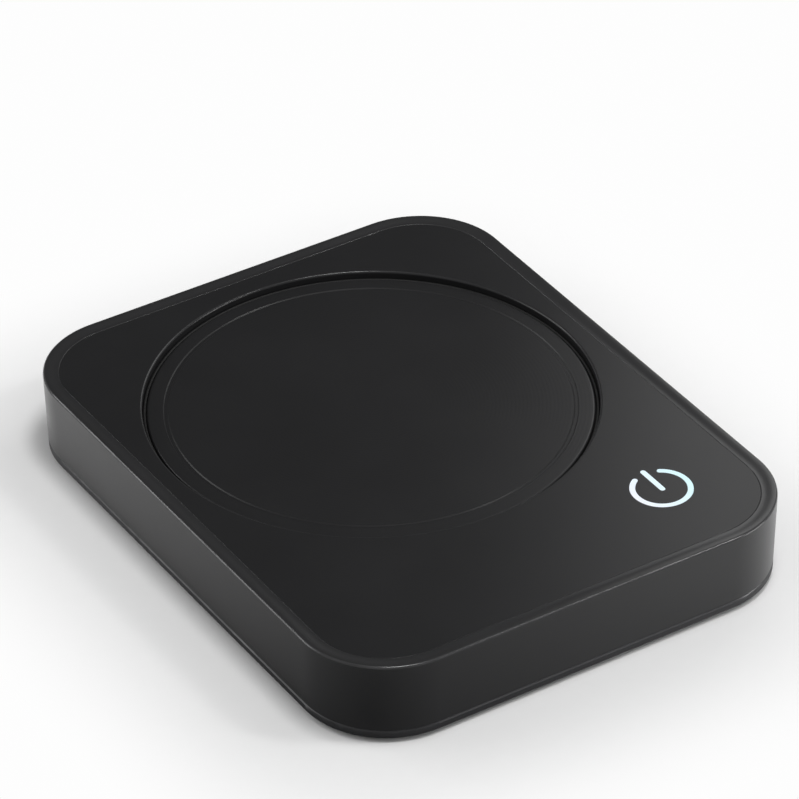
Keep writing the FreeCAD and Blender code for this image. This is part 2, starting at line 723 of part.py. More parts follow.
def make_heater_element():
    """Concentric foil tracks joined in one winding path, and two tabs that hang down to the leads."""
    body = new_body("heater_element")
    tracks = new_sketch(body, "foil_tracks", "level.element_bottom", y=SEAT)
    pitch = value("size.track_width + size.track_gap")
    count = int((value("level.element - size.sensor_hole_radius")) // pitch)
    for turn in range(count):
        outer = f"level.element - {turn} * (size.track_width + size.track_gap)"
        add_circle(tracks, outer)
        add_circle(tracks, f"{outer} - size.track_width")
    pad(body, tracks, "size.element_thickness")
    bridges = new_sketch(body, "foil_bridges", "level.element_bottom", y=SEAT)
    span = f"({count - 1} * (size.track_width + size.track_gap) + size.track_width)"
    for side in (-1, 1):
        add_rectangle(bridges, "size.track_width", span, "0", f"{side} * (level.element - {span} / 2)")
    pad(body, bridges, "size.element_thickness")
    tabs = new_sketch(body, "heater_tabs", "level.lead_height", y=SEAT)
    for side in (-1, 1):
        add_rectangle(tabs, "size.tab_width", "size.tab_thickness",
                      f"{side} * size.lead_spacing / 2", "-level.tab_reach")
    pad(body, tabs, "level.element_bottom + size.element_thickness - level.lead_height")
    return body


def make_clamp_plate():
    """The pressed steel plate with a stiffening bead and four ears that holds the stack up."""
    body = new_body("clamp_plate")
    inner = "(level.bead - size.clamp_bead_width / 2)"
    outer = "(level.bead + size.clamp_bead_width / 2)"
    slope = "size.clamp_bead_depth"
    hole = "size.sensor_stem_radius + size.sensor_lead_radius / 2"
    sunk_top = "level.clamp_top - size.clamp_bead_depth"
    sunk_bottom = "level.clamp_bottom - size.clamp_bead_depth"
    revolve(body, "clamp_section", [
        (hole, "level.clamp_bottom"),
        (inner, "level.clamp_bottom"),
        (f"{inner} + {slope}", sunk_bottom),
        (f"{outer} - {slope}", sunk_bottom),
        (outer, "level.clamp_bottom"),
        ("level.clamp", "level.clamp_bottom"),
        ("level.clamp", "level.clamp_top"),
        (outer, "level.clamp_top"),
        (f"{outer} - {slope}", sunk_top),
        (f"{inner} + {slope}", sunk_top),
        (inner, "level.clamp_top"),
        (hole, "level.clamp_top"),
    ], SEAT)
    turn = 90 - value("size.clamp_ear_angle")
    for number, angle in enumerate((-turn, turn)):
        ears = new_sketch(body, f"clamp_ears_{number}", "level.clamp_bottom", y=SEAT)
        for side in (-1, 1):
            arm_start, arm_end = "(level.clamp - size.clamp_arm_overlap)", "level.ear_reach"
            add_circle(ears, "size.clamp_ear_width / 2", "0", f"{side} * {arm_end}")
        ears.AttachmentOffset = Placement(ears.AttachmentOffset.Base, Rotation(UP, angle))
        pad(body, ears, "size.clamp_thickness")
        arms = new_sketch(body, f"clamp_arms_{number}", "level.clamp_bottom", y=SEAT)
        for side in (-1, 1):
            add_rectangle(arms, "size.clamp_ear_width", f"({arm_end} - {arm_start})",
                          "0", f"{side} * ({arm_end} + {arm_start}) / 2")
        arms.AttachmentOffset = Placement(arms.AttachmentOffset.Base, Rotation(UP, angle))
        pad(body, arms, "size.clamp_thickness")
    holes = new_sketch(body, "clamp_holes", "level.clamp_top", y=SEAT)
    for side_x, side_y in CORNERS:
        add_circle(holes, "size.screw_radius + size.screw_clearance",
                   f"{side_x} * level.ear_x", f"{side_y} * level.ear_y")
    for side in (-1, 1):
        add_rectangle(holes, "size.lead_notch_width", "size.lead_notch_width / 2",
                      f"{side} * size.lead_spacing / 2", "-level.tab_reach")
    pocket(body, holes, "size.clamp_thickness")
    return body


def make_base_plate():
    """The bottom cover: edge band, locating lip, screw bosses, board standoffs, vents and foot pockets."""
    body = new_body("base_plate")
    trim = "2 * size.wall_draft"
    edge = new_sketch(body, "base_edge_band", "level.base_bottom")
    add_rounded_rectangle(edge, f"level.body_width - {trim}", f"level.body_depth - {trim}",
                          "size.corner_radius - size.wall_draft")
    pad(body, edge, "size.base_edge")
    dress(body, "Fillet", level_edges(body.Shape, "level.base_bottom"), "size.base_fillet")
    dress(body, "Chamfer", level_edges(body.Shape, "level.seam"), "size.seam_chamfer")
    lip = new_sketch(body, "locating_lip", "level.seam")
    gap = "2 * size.base_lip_clearance"
    add_rounded_rectangle(lip, f"level.inner_width - {gap}", f"level.inner_depth - {gap}",
                          "level.inner_corner - size.base_lip_clearance")
    pad(body, lip, "size.base_lip_height")
    tray = new_sketch(body, "base_tray", "level.seam + size.base_lip_height")
    inset = "2 * (size.base_lip_clearance + size.base_lip_thickness)"
    add_rounded_rectangle(tray, f"level.inner_width - {inset}", f"level.inner_depth - {inset}",
                          "level.inner_corner - size.base_lip_clearance - size.base_lip_thickness")
    pocket(body, tray, "level.seam + size.base_lip_height - level.floor_top")

    bosses = new_sketch(body, "base_screw_bosses", "level.floor_top")
    for side_x, side_y in CORNERS:
        add_circle(bosses, "size.screw_boss_radius",
                   f"{side_x} * level.post_x", f"{side_y} * level.post_y")
    pad(body, bosses, "size.screw_boss_height")
    standoffs = new_sketch(body, "board_standoffs", "level.floor_top")
    for x, y in BOARD_SCREWS:
        add_circle(standoffs, "size.standoff_radius", x, y)
    pad(body, standoffs, "size.board_standoff")
    ribs = new_sketch(body, "floor_ribs", "level.floor_top", y=SEAT)
    for side in (-1, 1):
        span = f"2 * size.rib_place + {side} * size.rib_thickness"
        add_rounded_rectangle(ribs, span, span, f"size.rib_corner + {side} * size.rib_thickness / 2")
    pad(body, ribs, "size.rib_height")

    shafts = new_sketch(body, "base_screw_holes", "level.post_bottom")
    heads = new_sketch(body, "base_head_wells", "level.base_bottom + size.screw_head_height + size.screw_head_sink")
    for side_x, side_y in CORNERS:
        place = (f"{side_x} * level.post_x", f"{side_y} * level.post_y")
        add_circle(shafts, "size.screw_radius + size.screw_clearance", *place)
        add_circle(heads, "size.screw_head_radius + size.screw_clearance", *place)
    pocket(body, shafts, "level.post_bottom - level.base_bottom")
    pocket(body, heads, "size.screw_head_height + size.screw_head_sink")
    pilots = new_sketch(body, "standoff_pilots", "level.board_bottom")
    for x, y in BOARD_SCREWS:
        add_circle(pilots, "level.pilot_radius", x, y)
    pocket(body, pilots, "size.board_screw_length - size.board_thickness + size.screw_clearance")
    pockets = new_sketch(body, "foot_pockets", "level.base_bottom + size.foot_thickness - size.foot_proud")
    for side_x, side_y in CORNERS:
        add_circle(pockets, "size.foot_radius + size.foot_clearance",
                   f"{side_x} * level.foot_x", f"{side_y} * level.foot_y")
    pocket(body, pockets, "size.foot_thickness - size.foot_proud")

    vent = new_sketch(body, "vent_slot", "level.floor_top", y=SEAT)
    add_slot(vent, "size.vent_length", "size.vent_width")
    pocket(body, vent, "size.base_floor")
    first_vent = body.Tip
    vents_a_side = int(value("size.vent_field") // value("size.vent_pitch"))
    for number, reverse in enumerate((False, True)):
        pattern = body.newObject("PartDesign::LinearPattern", f"vent_row_{number}")
        pattern.Originals = [first_vent]
        pattern.Direction = (vent, ["H_Axis"])
        pattern.Reversed = reverse
        pattern.setExpression("Length", f"{vents_a_side} * size.vent_pitch")
        pattern.Occurrences = vents_a_side + 1
        body.Tip = pattern
        doc.recompute()
    return body


def make_feet():
    """Four stick-in rubber feet with a rounded tread edge."""
    names = ["foot_rear_right", "foot_rear_left", "foot_front_left", "foot_front_right"]
    for name, (side_x, side_y) in zip(names, CORNERS):
        body = new_body(name)
        disc = new_sketch(body, name + "_disc", "0", x=f"{side_x} * level.foot_x",
                          y=f"{side_y} * level.foot_y")
        add_circle(disc, "size.foot_radius")
        pad(body, disc, "size.foot_thickness")
        dress(body, "Fillet", level_edges(body.Shape, "0"), "size.foot_fillet")


def make_cord_gland():
    """The flanged rubber bush that lines the cord hole in the rear wall."""
    body = new_body("cord_gland")
    inside = "(level.inner_depth / 2)"
    outside = "(level.body_depth / 2 - size.gland_inset)"
    sketch = new_sketch(body, "gland_section", "0", role="YZ_Plane")
    add_polygon(sketch, [
        (f"{inside} - size.gland_flange_thickness", "level.gland_height + size.gland_bore_radius"),
        (outside, "level.gland_height + size.gland_bore_radius"),
        (outside, "level.gland_height + size.gland_radius"),
        (inside, "level.gland_height + size.gland_radius"),
        (inside, "level.gland_height + level.gland_flange"),
        (f"{inside} - size.gland_flange_thickness", "level.gland_height + level.gland_flange"),
    ])
    axis = sketch.addGeometry(Part.LineSegment(Vector(0, value("level.gland_height"), 0),
                                               Vector(1, value("level.gland_height"), 0)), True)
    sketch.addConstraint(Sketcher.Constraint("Horizontal", axis))
    sketch.addConstraint(Sketcher.Constraint("PointOnObject", axis, 1, -2))
    limit(sketch, "DistanceX", (axis, 1, axis, 2), "1")
    limit(sketch, "DistanceY", (-1, 1, axis, 1), "level.gland_height")
    feature = body.newObject("PartDesign::Revolution", "gland_turn")
    feature.Profile = sketch
    feature.ReferenceAxis = (sketch, ["Axis0"])
    feature.Angle = 360
    doc.recompute()
    return body


def screw(x, y, seat, length, head_up):
    """A pan-head screw whose head bears at the seat height, with a cross recess."""
    radius, head = value("size.screw_radius"), value("size.screw_head_radius")
    height, recess = value("size.screw_head_height"), value("size.driver_recess")
    place = Vector(value(x), value(y), value(seat))
    way = 1 if head_up else -1
    shaft = Part.makeCylinder(radius, value(length), place, Vector(0, 0, -way))
    cap = Part.makeCylinder(head, height, place, Vector(0, 0, way))
    top_edge = max(cap.Edges, key=lambda edge: way * edge.BoundBox.Center.z)
    cap = cap.makeFillet(value("size.screw_head_fillet"), [top_edge])
    blank = shaft.fuse(cap)
    width = value("size.driver_slot")
    for turn in (0, 90):
        slot = Part.makeBox(head, width, recess * 2, Vector(-head / 2, -width / 2, -recess))
        slot.rotate(Vector(), UP, turn)
        slot.translate(place + Vector(0, 0, way * height))
        blank = blank.cut(slot)
    return blank.removeSplitter()


def make_screws():
    """The fasteners, one group for each kind."""
    base_seat = "level.base_bottom + size.screw_head_height + size.screw_head_sink"
    group("base_screws", [
        screw(f"{side_x} * level.post_x", f"{side_y} * level.post_y",
              base_seat, "size.base_screw_length", False)
        for side_x, side_y in CORNERS])
    group("clamp_screws", [
        screw(f"{side_x} * level.ear_x", f"{side_y} * level.ear_y + {SEAT}",
              "level.clamp_bottom", "size.clamp_screw_length", False)
        for side_x, side_y in CORNERS])
    group("board_screws", [
        screw(x, y, "level.board_top", "size.board_screw_length", True) for x, y in BOARD_SCREWS])


def make_thermistor():
    """The potted sensor, held against the plate by the clamp plate."""
    body = new_body("thermistor")
    revolve(body, "sensor_section", [
        ("0", "level.sensor_bottom"),
        ("size.sensor_stem_radius", "level.sensor_bottom"),
        ("size.sensor_stem_radius", "level.clamp_top"),
        ("size.sensor_head_radius", "level.clamp_top"),
        ("size.sensor_head_radius", "level.plate_bottom"),
        ("0", "level.plate_bottom"),
    ], SEAT)
    return body


def lead_tube(points, radius):
    """A round lead along straight runs."""
    solids = []
    for start, end in zip(points, points[1:]):
        run = end - start
        solids.append(Part.makeCylinder(radius, run.Length, start, run))
    whole = solids[0]
    for knee, solid in zip(points[1:], solids[1:]):
        whole = whole.fuse([solid, Part.makeSphere(radius, knee)])
    return whole.removeSplitter()


def make_leads():
    """Heater leads with the thermal fuse in line, and the sensor's pair."""
    height = value("level.lead_height")
    tab_face = value("level.seat_y - level.tab_reach - size.tab_thickness / 2")
    end = value("level.terminal_face") - value("size.terminal_depth")
    left, right = -value("size.lead_spacing") / 2, value("size.lead_spacing") / 2
    radius = value("size.lead_radius")
    fuse_start = tab_face - value("size.fuse_margin")
    fuse_end = fuse_start - value("size.fuse_length")
    ways = [
        [Vector(right, tab_face, height), Vector(right, end, height)],
        [Vector(left, tab_face, height), Vector(left, fuse_start, height)],
        [Vector(left, fuse_end, height), Vector(left, end, height)],
    ]
    group("heater_leads", [lead_tube(way, radius) for way in ways])
    core = Part.makeCylinder(value("size.fuse_radius"), value("size.fuse_length"),
                             Vector(left, fuse_start, height), Vector(0, -1, 0))
    group("thermal_fuse", [core])
    centre = (fuse_start + fuse_end) / 2
    first = Vector(left, centre + value("size.sleeve_length") / 2, height)
    tube = Part.makeCylinder(value("size.sleeve_radius"), value("size.sleeve_length"), first, Vector(0, -1, 0))
    bore = Part.makeCylinder(value("size.fuse_radius + size.sleeve_clearance"), value("size.sleeve_length"),
                             first, Vector(0, -1, 0))
    group("thermal_fuse_sleeve", [tube.cut(bore)])

    body_bottom = value("level.sensor_bottom")
    bend, thin = value("size.sensor_lead_bend"), value("size.sensor_lead_radius")
    seat = value(SEAT)
    low = value("level.sensor_lead_height")
    pair = []
    for side in (-1, 1):
        x = side * value("size.sensor_lead_pitch") / 2
        start = Vector(x, seat, body_bottom)
        corner = Vector(x, seat - bend, low)
        middle = Vector(x, seat - bend * (1 - math.sqrt(0.5)), body_bottom - bend * math.sqrt(0.5))
        end_point = Vector(x, value("level.terminal_face") - value("size.terminal_depth"), low)
        path = Part.Wire([Part.Arc(start, middle, corner).toShape(), Part.LineSegment(corner, end_point).toShape()])
        section = Part.Wire([Part.makeCircle(thin, start, Vector(0, 0, -1))])
        pair.append(path.makePipeShell([section], True, False))
    group("sensor_leads", pair)


def block(x, y, bottom, width, depth, height, rounding):
    """A moulded block standing on its bottom, with rounded upper and upright edges."""
    solid = Part.makeBox(width, depth, height, Vector(x - width / 2, y - depth / 2, bottom))
    kept = [edge for edge in solid.Edges if edge.BoundBox.Center.z > bottom + height * 0.25]
    return solid.makeFillet(rounding, kept)


def make_control_board():
    """The circuit board, hollowed round the seat and notched round the screw posts."""
    body = new_body("control_board")
    inset = "(size.base_lip_clearance + size.base_lip_thickness + size.board_edge_gap)"
    outline = new_sketch(body, "board_outline", "level.board_bottom")
    add_rounded_rectangle(outline, f"level.inner_width - 2 * {inset}", f"level.inner_depth - 2 * {inset}",
                          f"level.inner_corner - {inset}")
    pad(body, outline, "size.board_thickness")
    rear = new_sketch(body, "board_rear_cut", "level.board_top")
    depth = "(level.body_depth - size.board_depth)"
    add_rectangle(rear, "level.inner_width", depth, "0", f"level.front + size.board_depth + {depth} / 2")
    pocket(body, rear, "size.board_thickness")
    well = new_sketch(body, "board_well", "level.board_top", y=SEAT)
    add_circle(well, "level.collar + size.board_well_gap")
    pocket(body, well, "size.board_thickness")
    notches = new_sketch(body, "board_notches", "level.board_top")
    for side in (-1, 1):
        add_circle(notches, "size.screw_boss_radius + size.board_notch_gap",
                   f"{side} * level.post_x", "-level.post_y")
    for x, y in BOARD_SCREWS:
        add_circle(notches, "size.screw_radius + size.screw_clearance", x, y)
    pocket(body, notches, "size.board_thickness")
    return body


def on_board(name, from_left=False):
    """The place of a board component, by the names of its two sizes."""
    x = value(f"level.left + size.{name}_inset") if from_left else value(f"size.{name}_x")
    return x, value(f"level.front + size.{name}_y")


def standing_can(name, x, y):
    """A round component that stands on the board, with a rounded upper edge."""
    bottom = value("level.board_top")
    can = Part.makeCylinder(value(f"size.{name}_radius"), value(f"size.{name}_height"), Vector(x, y, bottom))
    upper = max(can.Edges, key=lambda edge: edge.BoundBox.ZMin)
    return can.makeFillet(value(f"size.{name}_round"), [upper])


def component(name, x, y, lift=0.0):
    """A moulded component, by the names of its sizes."""
    width, depth, height = (value(f"size.{name}_{side}") for side in ("width", "depth", "height"))
    return block(x, y, value("level.board_top") + lift, width, depth, height, value(f"size.{name}_round"))


def make_microcontroller():
    """The chip and its two rows of bent legs."""
    top = value("level.board_top")
    x, y = on_board("chip")
    chip = component("chip", x, y, value("size.chip_lift"))
    width, foot, thickness = (value(f"size.leg_{part}") for part in ("width", "foot", "thickness"))
    pitch, rise = value("size.leg_pitch"), value("size.leg_rise")
    half = value("size.chip_depth") / 2
    count = int(value("size.chip_width") // pitch) + 1
    legs = []
    for number in range(count):
        left = x + (number - (count - 1) / 2) * pitch - width / 2
        for side in (-1, 1):
            middle = y + side * (half + foot / 2)
            legs.append(Part.makeBox(width, foot, thickness, Vector(left, middle - foot / 2, top)))
            riser = y + side * half
            legs.append(Part.makeBox(width, thickness, rise, Vector(left, riser - thickness / 2, top)))
    group("microcontroller", [chip.fuse(legs)])


def make_board_parts():
    """The other components that stand on the board."""
    top = value("level.board_top")
    x, y = on_board("triac")
    triac = component("triac", x, y)
    width, tab_depth = value("size.triac_width"), value("size.triac_tab_depth")
    rear = y + value("size.triac_depth") / 2
    tab = Part.makeBox(width, tab_depth, value("size.triac_tab_thickness"), Vector(x - width / 2, rear, top))
    hole = Part.makeCylinder(value("size.triac_hole_radius"), value("size.triac_height"),
                             Vector(x, rear + tab_depth / 2, top))
    group("triac", [triac.fuse(tab.cut(hole))])

    group("mains_fuse", [standing_can("fuse_can", *on_board("fuse_can", True))])
    group("film_capacitor", [component("film", *on_board("film", True))])
    group("varistor", [standing_can("varistor", *on_board("varistor"))])

    x, y = on_board("can")
    radius, axis = value("size.can_radius"), Vector(1, 0, 0)
    can = Part.makeCylinder(radius, value("size.can_length"), Vector(x, y, top + radius), axis)
    crimp = Part.makeTorus(radius + value("size.can_crimp_lift"), value("size.can_crimp_radius"),
                           Vector(x + value("size.can_crimp_place"), y, top + radius), axis)
    group("electrolytic_capacitor", [can.cut(crimp)])

    x, y = on_board("inlet_block", True)
    terminal = component("inlet_block", x, y)
    rear = y + value("size.inlet_block_depth") / 2
    mouth_height, well_depth = value("size.inlet_mouth_height"), value("size.inlet_well_depth")
    well_bottom = top + value("size.inlet_block_height") - well_depth
    for side in (-1, 1):
        place = x + side * value("size.inlet_pitch") / 2
        mouth = Part.makeCylinder(value("size.inlet_mouth_radius"), value("size.inlet_pitch"),
                                  Vector(place, rear, top + mouth_height), Vector(0, -1, 0))
        well = Part.makeCylinder(value("size.inlet_well_radius"), well_depth, Vector(place, y, well_bottom))
        terminal = terminal.cut(mouth).cut(well)
    group("mains_terminal", [terminal])
    make_lead_sockets()


def make_lead_sockets():
    """The two heater terminals and the sensor's socket, each bored for its leads."""
    top, face = value("level.board_top"), value("level.terminal_face")
    depth, forward = value("size.terminal_depth"), Vector(0, -1, 0)
    shells = []
    for side in (-1, 1):
        x = side * value("size.lead_spacing") / 2
        length = value("size.terminal_length")
        shell = block(x, face - length / 2, top, value("size.terminal_width"), length,
                      value("size.terminal_height"), value("size.terminal_round"))
        start = Vector(x, face, value("level.lead_height"))
        shells.append(shell.cut(Part.makeCylinder(value("size.lead_radius"), depth, start, forward)))
    group("heater_terminals", shells)
    length = value("size.socket_length")
    socket = block(0, face - length / 2, top, value("size.socket_width"), length,
                   value("size.socket_height"), value("size.socket_round"))
    for side in (-1, 1):
        x = side * value("size.sensor_lead_pitch") / 2
        start = Vector(x, face, value("level.sensor_lead_height"))
        socket = socket.cut(Part.makeCylinder(value("size.sensor_lead_radius"), depth, start, forward))
    group("sensor_connector", [socket])


def make_touch_light():
    """Hood, lamps and sensing spring under the touch mark."""
    x, y = value("level.mark_x"), value("level.mark_y")
    low, high = value("level.board_top"), value("level.guide_bottom")
    hood = new_body("light_hood")
    ring = new_sketch(hood, "hood_ring", "level.board_top", x="level.mark_x", y="level.mark_y")
    add_circle(ring, "size.hood_radius")
    add_circle(ring, "size.hood_radius - size.hood_wall")
    pad(hood, ring, "level.guide_bottom - level.board_top")

    lamps = []
    width = value("size.lamp_width")
    for side_x, side_y in CORNERS:
        angle = math.atan2(side_y, side_x)
        reach = value("size.lamp_ring_radius")
        lamps.append(block(x + reach * math.cos(angle), y + reach * math.sin(angle), low, width, width,
                           value("size.lamp_height"), value("size.lamp_round")))
    group("indicator_lamps", lamps)

    wire, coil = value("size.spring_wire"), value("size.spring_radius")
    end_gap = value("size.spring_end_gap")
    rise = high - low - 2 * wire - 2 * end_gap
    pitch = rise / value("size.spring_turns")
    helix = Part.makeHelix(pitch, rise, coil)
    helix.translate(Vector(x, y, low + wire + end_gap))
    start = Vector(x + coil, y, low + wire + end_gap)
    profile = Part.Wire([Part.makeCircle(wire, start, Vector(0, 1, 0))])
    group("touch_spring", [Part.Wire(helix.Edges).makePipeShell([profile], True, True)])
    print(f"touch spring: gap between turns {pitch - 2 * wire:.2f} mm")


def main():
    """Builds every piece, checks it and writes one file for each."""
    make_top_housing()
    make_top_panel()
    make_light_guide()
    make_plate_seal()
    make_heating_plate()
    make_disc("mica_sheet_upper", "level.mica", "level.upper_mica_bottom", "size.mica_thickness")
    make_heater_element()
    make_disc("mica_sheet_lower", "level.mica", "level.lower_mica_bottom", "size.mica_thickness",
              notched=True)
    make_disc("insulation_pad", "level.pad", "level.clamp_top", "size.pad_thickness", notched=True)
    make_clamp_plate()
    make_base_plate()
    make_feet()
    make_cord_gland()
    make_screws()
    make_thermistor()
    make_leads()
    make_control_board()
    make_microcontroller()
    make_board_parts()
    make_touch_light()
    doc.recompute()
    for item in doc.Objects:
        if "Invalid" in item.State or "Error" in item.State:
            raise RuntimeError(f"{item.Label} failed: {item.State}")
    os.makedirs("parts", exist_ok=True)
    for piece in pieces:
        if piece.Shape.isNull() or not piece.Shape.isValid() or not piece.Shape.Solids:
            raise RuntimeError(f"{piece.Label} has no valid solid")
        piece.Shape.exportStep(f"parts/{piece.Label}.step")
        print(f"{piece.Label}: {len(piece.Shape.Solids)} solid, {piece.Shape.Volume:.1f} mm3")


main()
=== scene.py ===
"""Looks of the electric mug warmer: smooth outer pieces, procedural finishes and a pale studio.

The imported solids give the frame. Each class below builds one sub-assembly in that frame, in
metres, and the pieces that show from outside stand for the solids of the same name.
"""

import json
import logging
import math
from dataclasses import dataclass
from enum import Enum
from typing import Iterable, Sequence

import bmesh
import bpy
from mathutils import Matrix, Vector

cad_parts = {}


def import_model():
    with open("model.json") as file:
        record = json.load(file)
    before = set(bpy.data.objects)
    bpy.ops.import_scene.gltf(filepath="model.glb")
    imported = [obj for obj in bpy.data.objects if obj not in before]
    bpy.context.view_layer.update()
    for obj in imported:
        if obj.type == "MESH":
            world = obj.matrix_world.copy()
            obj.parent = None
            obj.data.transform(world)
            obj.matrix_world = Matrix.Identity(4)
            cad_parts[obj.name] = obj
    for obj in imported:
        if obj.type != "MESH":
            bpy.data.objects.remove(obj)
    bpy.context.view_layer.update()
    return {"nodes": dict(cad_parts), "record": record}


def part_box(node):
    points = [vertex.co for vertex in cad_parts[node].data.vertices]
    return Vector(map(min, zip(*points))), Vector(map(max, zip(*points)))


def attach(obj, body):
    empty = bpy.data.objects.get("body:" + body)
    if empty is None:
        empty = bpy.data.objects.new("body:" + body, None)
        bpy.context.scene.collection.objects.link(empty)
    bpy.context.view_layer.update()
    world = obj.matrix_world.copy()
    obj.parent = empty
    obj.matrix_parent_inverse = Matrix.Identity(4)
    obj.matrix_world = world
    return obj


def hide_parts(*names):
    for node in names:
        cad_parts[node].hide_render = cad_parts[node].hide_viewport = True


LOG = logging.getLogger("mug_warmer")
MM = 0.001
SEED = 7


# Shared node helpers


class Socket(Enum):
    """Socket kinds of the node groups."""

    NUMBER = "NodeSocketFloat"
    VECTOR = "NodeSocketVector"
    MESH = "NodeSocketGeometry"
    OBJECT = "NodeSocketObject"
    MATERIAL = "NodeSocketMaterial"
    WHOLE = "NodeSocketInt"


class Graph:
    """Builds nodes in one tree with short calls."""

    def __init__(self, tree: bpy.types.NodeTree) -> None:
        """Keeps the tree.

        Args:
            tree: the node tree that the nodes go into.
        """
        self.tree = tree

    def node(self, kind: str, inputs: dict | None = None, **settings) -> bpy.types.Node:
        """Adds a node.

        Args:
            kind: the node's class name.
            inputs: socket name or index to a value, or to an output socket that feeds it.
            **settings: properties of the node.

        Returns:
            The new node.
        """
        made = self.tree.nodes.new(kind)
        for name, setting in settings.items():
            setattr(made, name, setting)
        for key, source in (inputs or {}).items():
            socket = made.inputs[key]
            if isinstance(source, bpy.types.NodeSocket):
                self.tree.links.new(source, socket)
            else:
                socket.default_value = source
        return made

    def math(self, operation: str, first, second=0.0, clamp: bool = False) -> bpy.types.NodeSocket:
        """Adds a maths node.

        Args:
            operation: the node's operation.
            first: a number or socket.
            second: a number or socket.
            clamp: keeps the result between 0 and 1.

        Returns:
            The node's output.
        """
        made = self.node("ShaderNodeMath", {0: first, 1: second}, operation=operation, use_clamp=clamp)
        return made.outputs[0]

    def spread(self, source, low: float, high: float, to_low: float = 0.0, to_high: float = 1.0,
               ease: bool = False) -> bpy.types.NodeSocket:
        """Maps a value from one span to another.

        Args:
            source: the socket that is mapped.
            low: start of the source span.
            high: end of the source span.
            to_low: start of the new span.
            to_high: end of the new span.
            ease: rounds both ends of the span off.

        Returns:
            The mapped value.
        """
        inputs = {"Value": source, "From Min": low, "From Max": high, "To Min": to_low, "To Max": to_high}
        kind = "SMOOTHSTEP" if ease else "LINEAR"
        return self.node("ShaderNodeMapRange", inputs, interpolation_type=kind).outputs["Result"]

    def tint(self, factor, first, second) -> bpy.types.NodeSocket:
        """Mixes two colours.

        Args:
            factor: share of the second colour, a number or socket.
            first: a colour or socket.
            second: a colour or socket.

        Returns:
            The mixed colour.
        """
        made = self.node("ShaderNodeMix", {0: factor, 6: first, 7: second}, data_type="RGBA")
        return made.outputs[2]

    def vector(self, operation: str, first, second=(0.0, 0.0, 0.0)) -> bpy.types.NodeSocket:
        """Adds a vector maths node.

        Args:
            operation: the node's operation.
            first: a vector or socket.
            second: a vector or socket.

        Returns:
            The number where the operation gives one, otherwise the vector.
        """
        made = self.node("ShaderNodeVectorMath", {0: first, 1: second}, operation=operation)
        return made.outputs["Value" if operation in ("DOT_PRODUCT", "LENGTH", "DISTANCE") else "Vector"]

    def axis(self, vector: bpy.types.NodeSocket, name: str) -> bpy.types.NodeSocket:
        """Takes one part of a vector.

        Args:
            vector: the vector's socket.
            name: X, Y or Z.

        Returns:
            The part.
        """
        return self.node("ShaderNodeSeparateXYZ", {0: vector}).outputs[name]

    def noise(self, place, scale, detail: float) -> bpy.types.NodeSocket:
        """Adds a cloudy pattern.

        Args:
            place: the position's socket.
            scale: waves in a metre, a number or socket.
            detail: how many finer layers it has.

        Returns:
            The pattern's value.
        """
        return self.node("ShaderNodeTexNoise", {"Vector": place, "Scale": scale, "Detail": detail}).outputs[0]

    def place(self) -> bpy.types.NodeSocket:
        """Gives the position in the piece's own coordinates.

        Returns:
            The position.
        """
        return self.node("ShaderNodeTexCoord").outputs["Object"]

    def relief(self, height, strength, distance: float) -> bpy.types.NodeSocket:
        """Turns a height into a bent normal.

        Args:
            height: the height's socket.
            strength: a number or socket.
            distance: the height's depth in metres.

        Returns:
            The normal.
        """
        made = self.node("ShaderNodeBump", {"Strength": strength, "Distance": distance, "Height": height})
        return made.outputs[0]

    def link(self, source: bpy.types.NodeSocket, target: bpy.types.NodeSocket) -> None:
        """Feeds an input.

        Args:
            source: the output.
            target: the input that it feeds.
        """
        self.tree.links.new(source, target)


def start_group(name: str, kind: str, inputs: Sequence[tuple], outputs: Sequence[tuple]):
    """Starts a node group with named sockets.

    Args:
        name: the group's name.
        kind: the tree's class name.
        inputs: triples of name, Socket and default value.
        outputs: pairs of name and Socket.

    Returns:
        The tree, its Graph, its input node and its output node.
    """
    tree = bpy.data.node_groups.new(name, kind)
    for label, socket, default in inputs:
        made = tree.interface.new_socket(name=label, in_out="INPUT", socket_type=socket.value)
        if default is not None:
            made.default_value = default
    for label, socket in outputs:
        tree.interface.new_socket(name=label, in_out="OUTPUT", socket_type=socket.value)
    graph = Graph(tree)
    return tree, graph, graph.node("NodeGroupInput"), graph.node("NodeGroupOutput")


def rgba(colour: Sequence[float], share: float = 1.0) -> tuple:
    """Scales a colour and adds full opacity.

    Args:
        colour: red, green and blue.
        share: what each channel is multiplied by.

    Returns:
        Four numbers, none above 1.
    """
    return (*(min(channel * share, 1.0) for channel in colour), 1.0)


# Shared surface effects


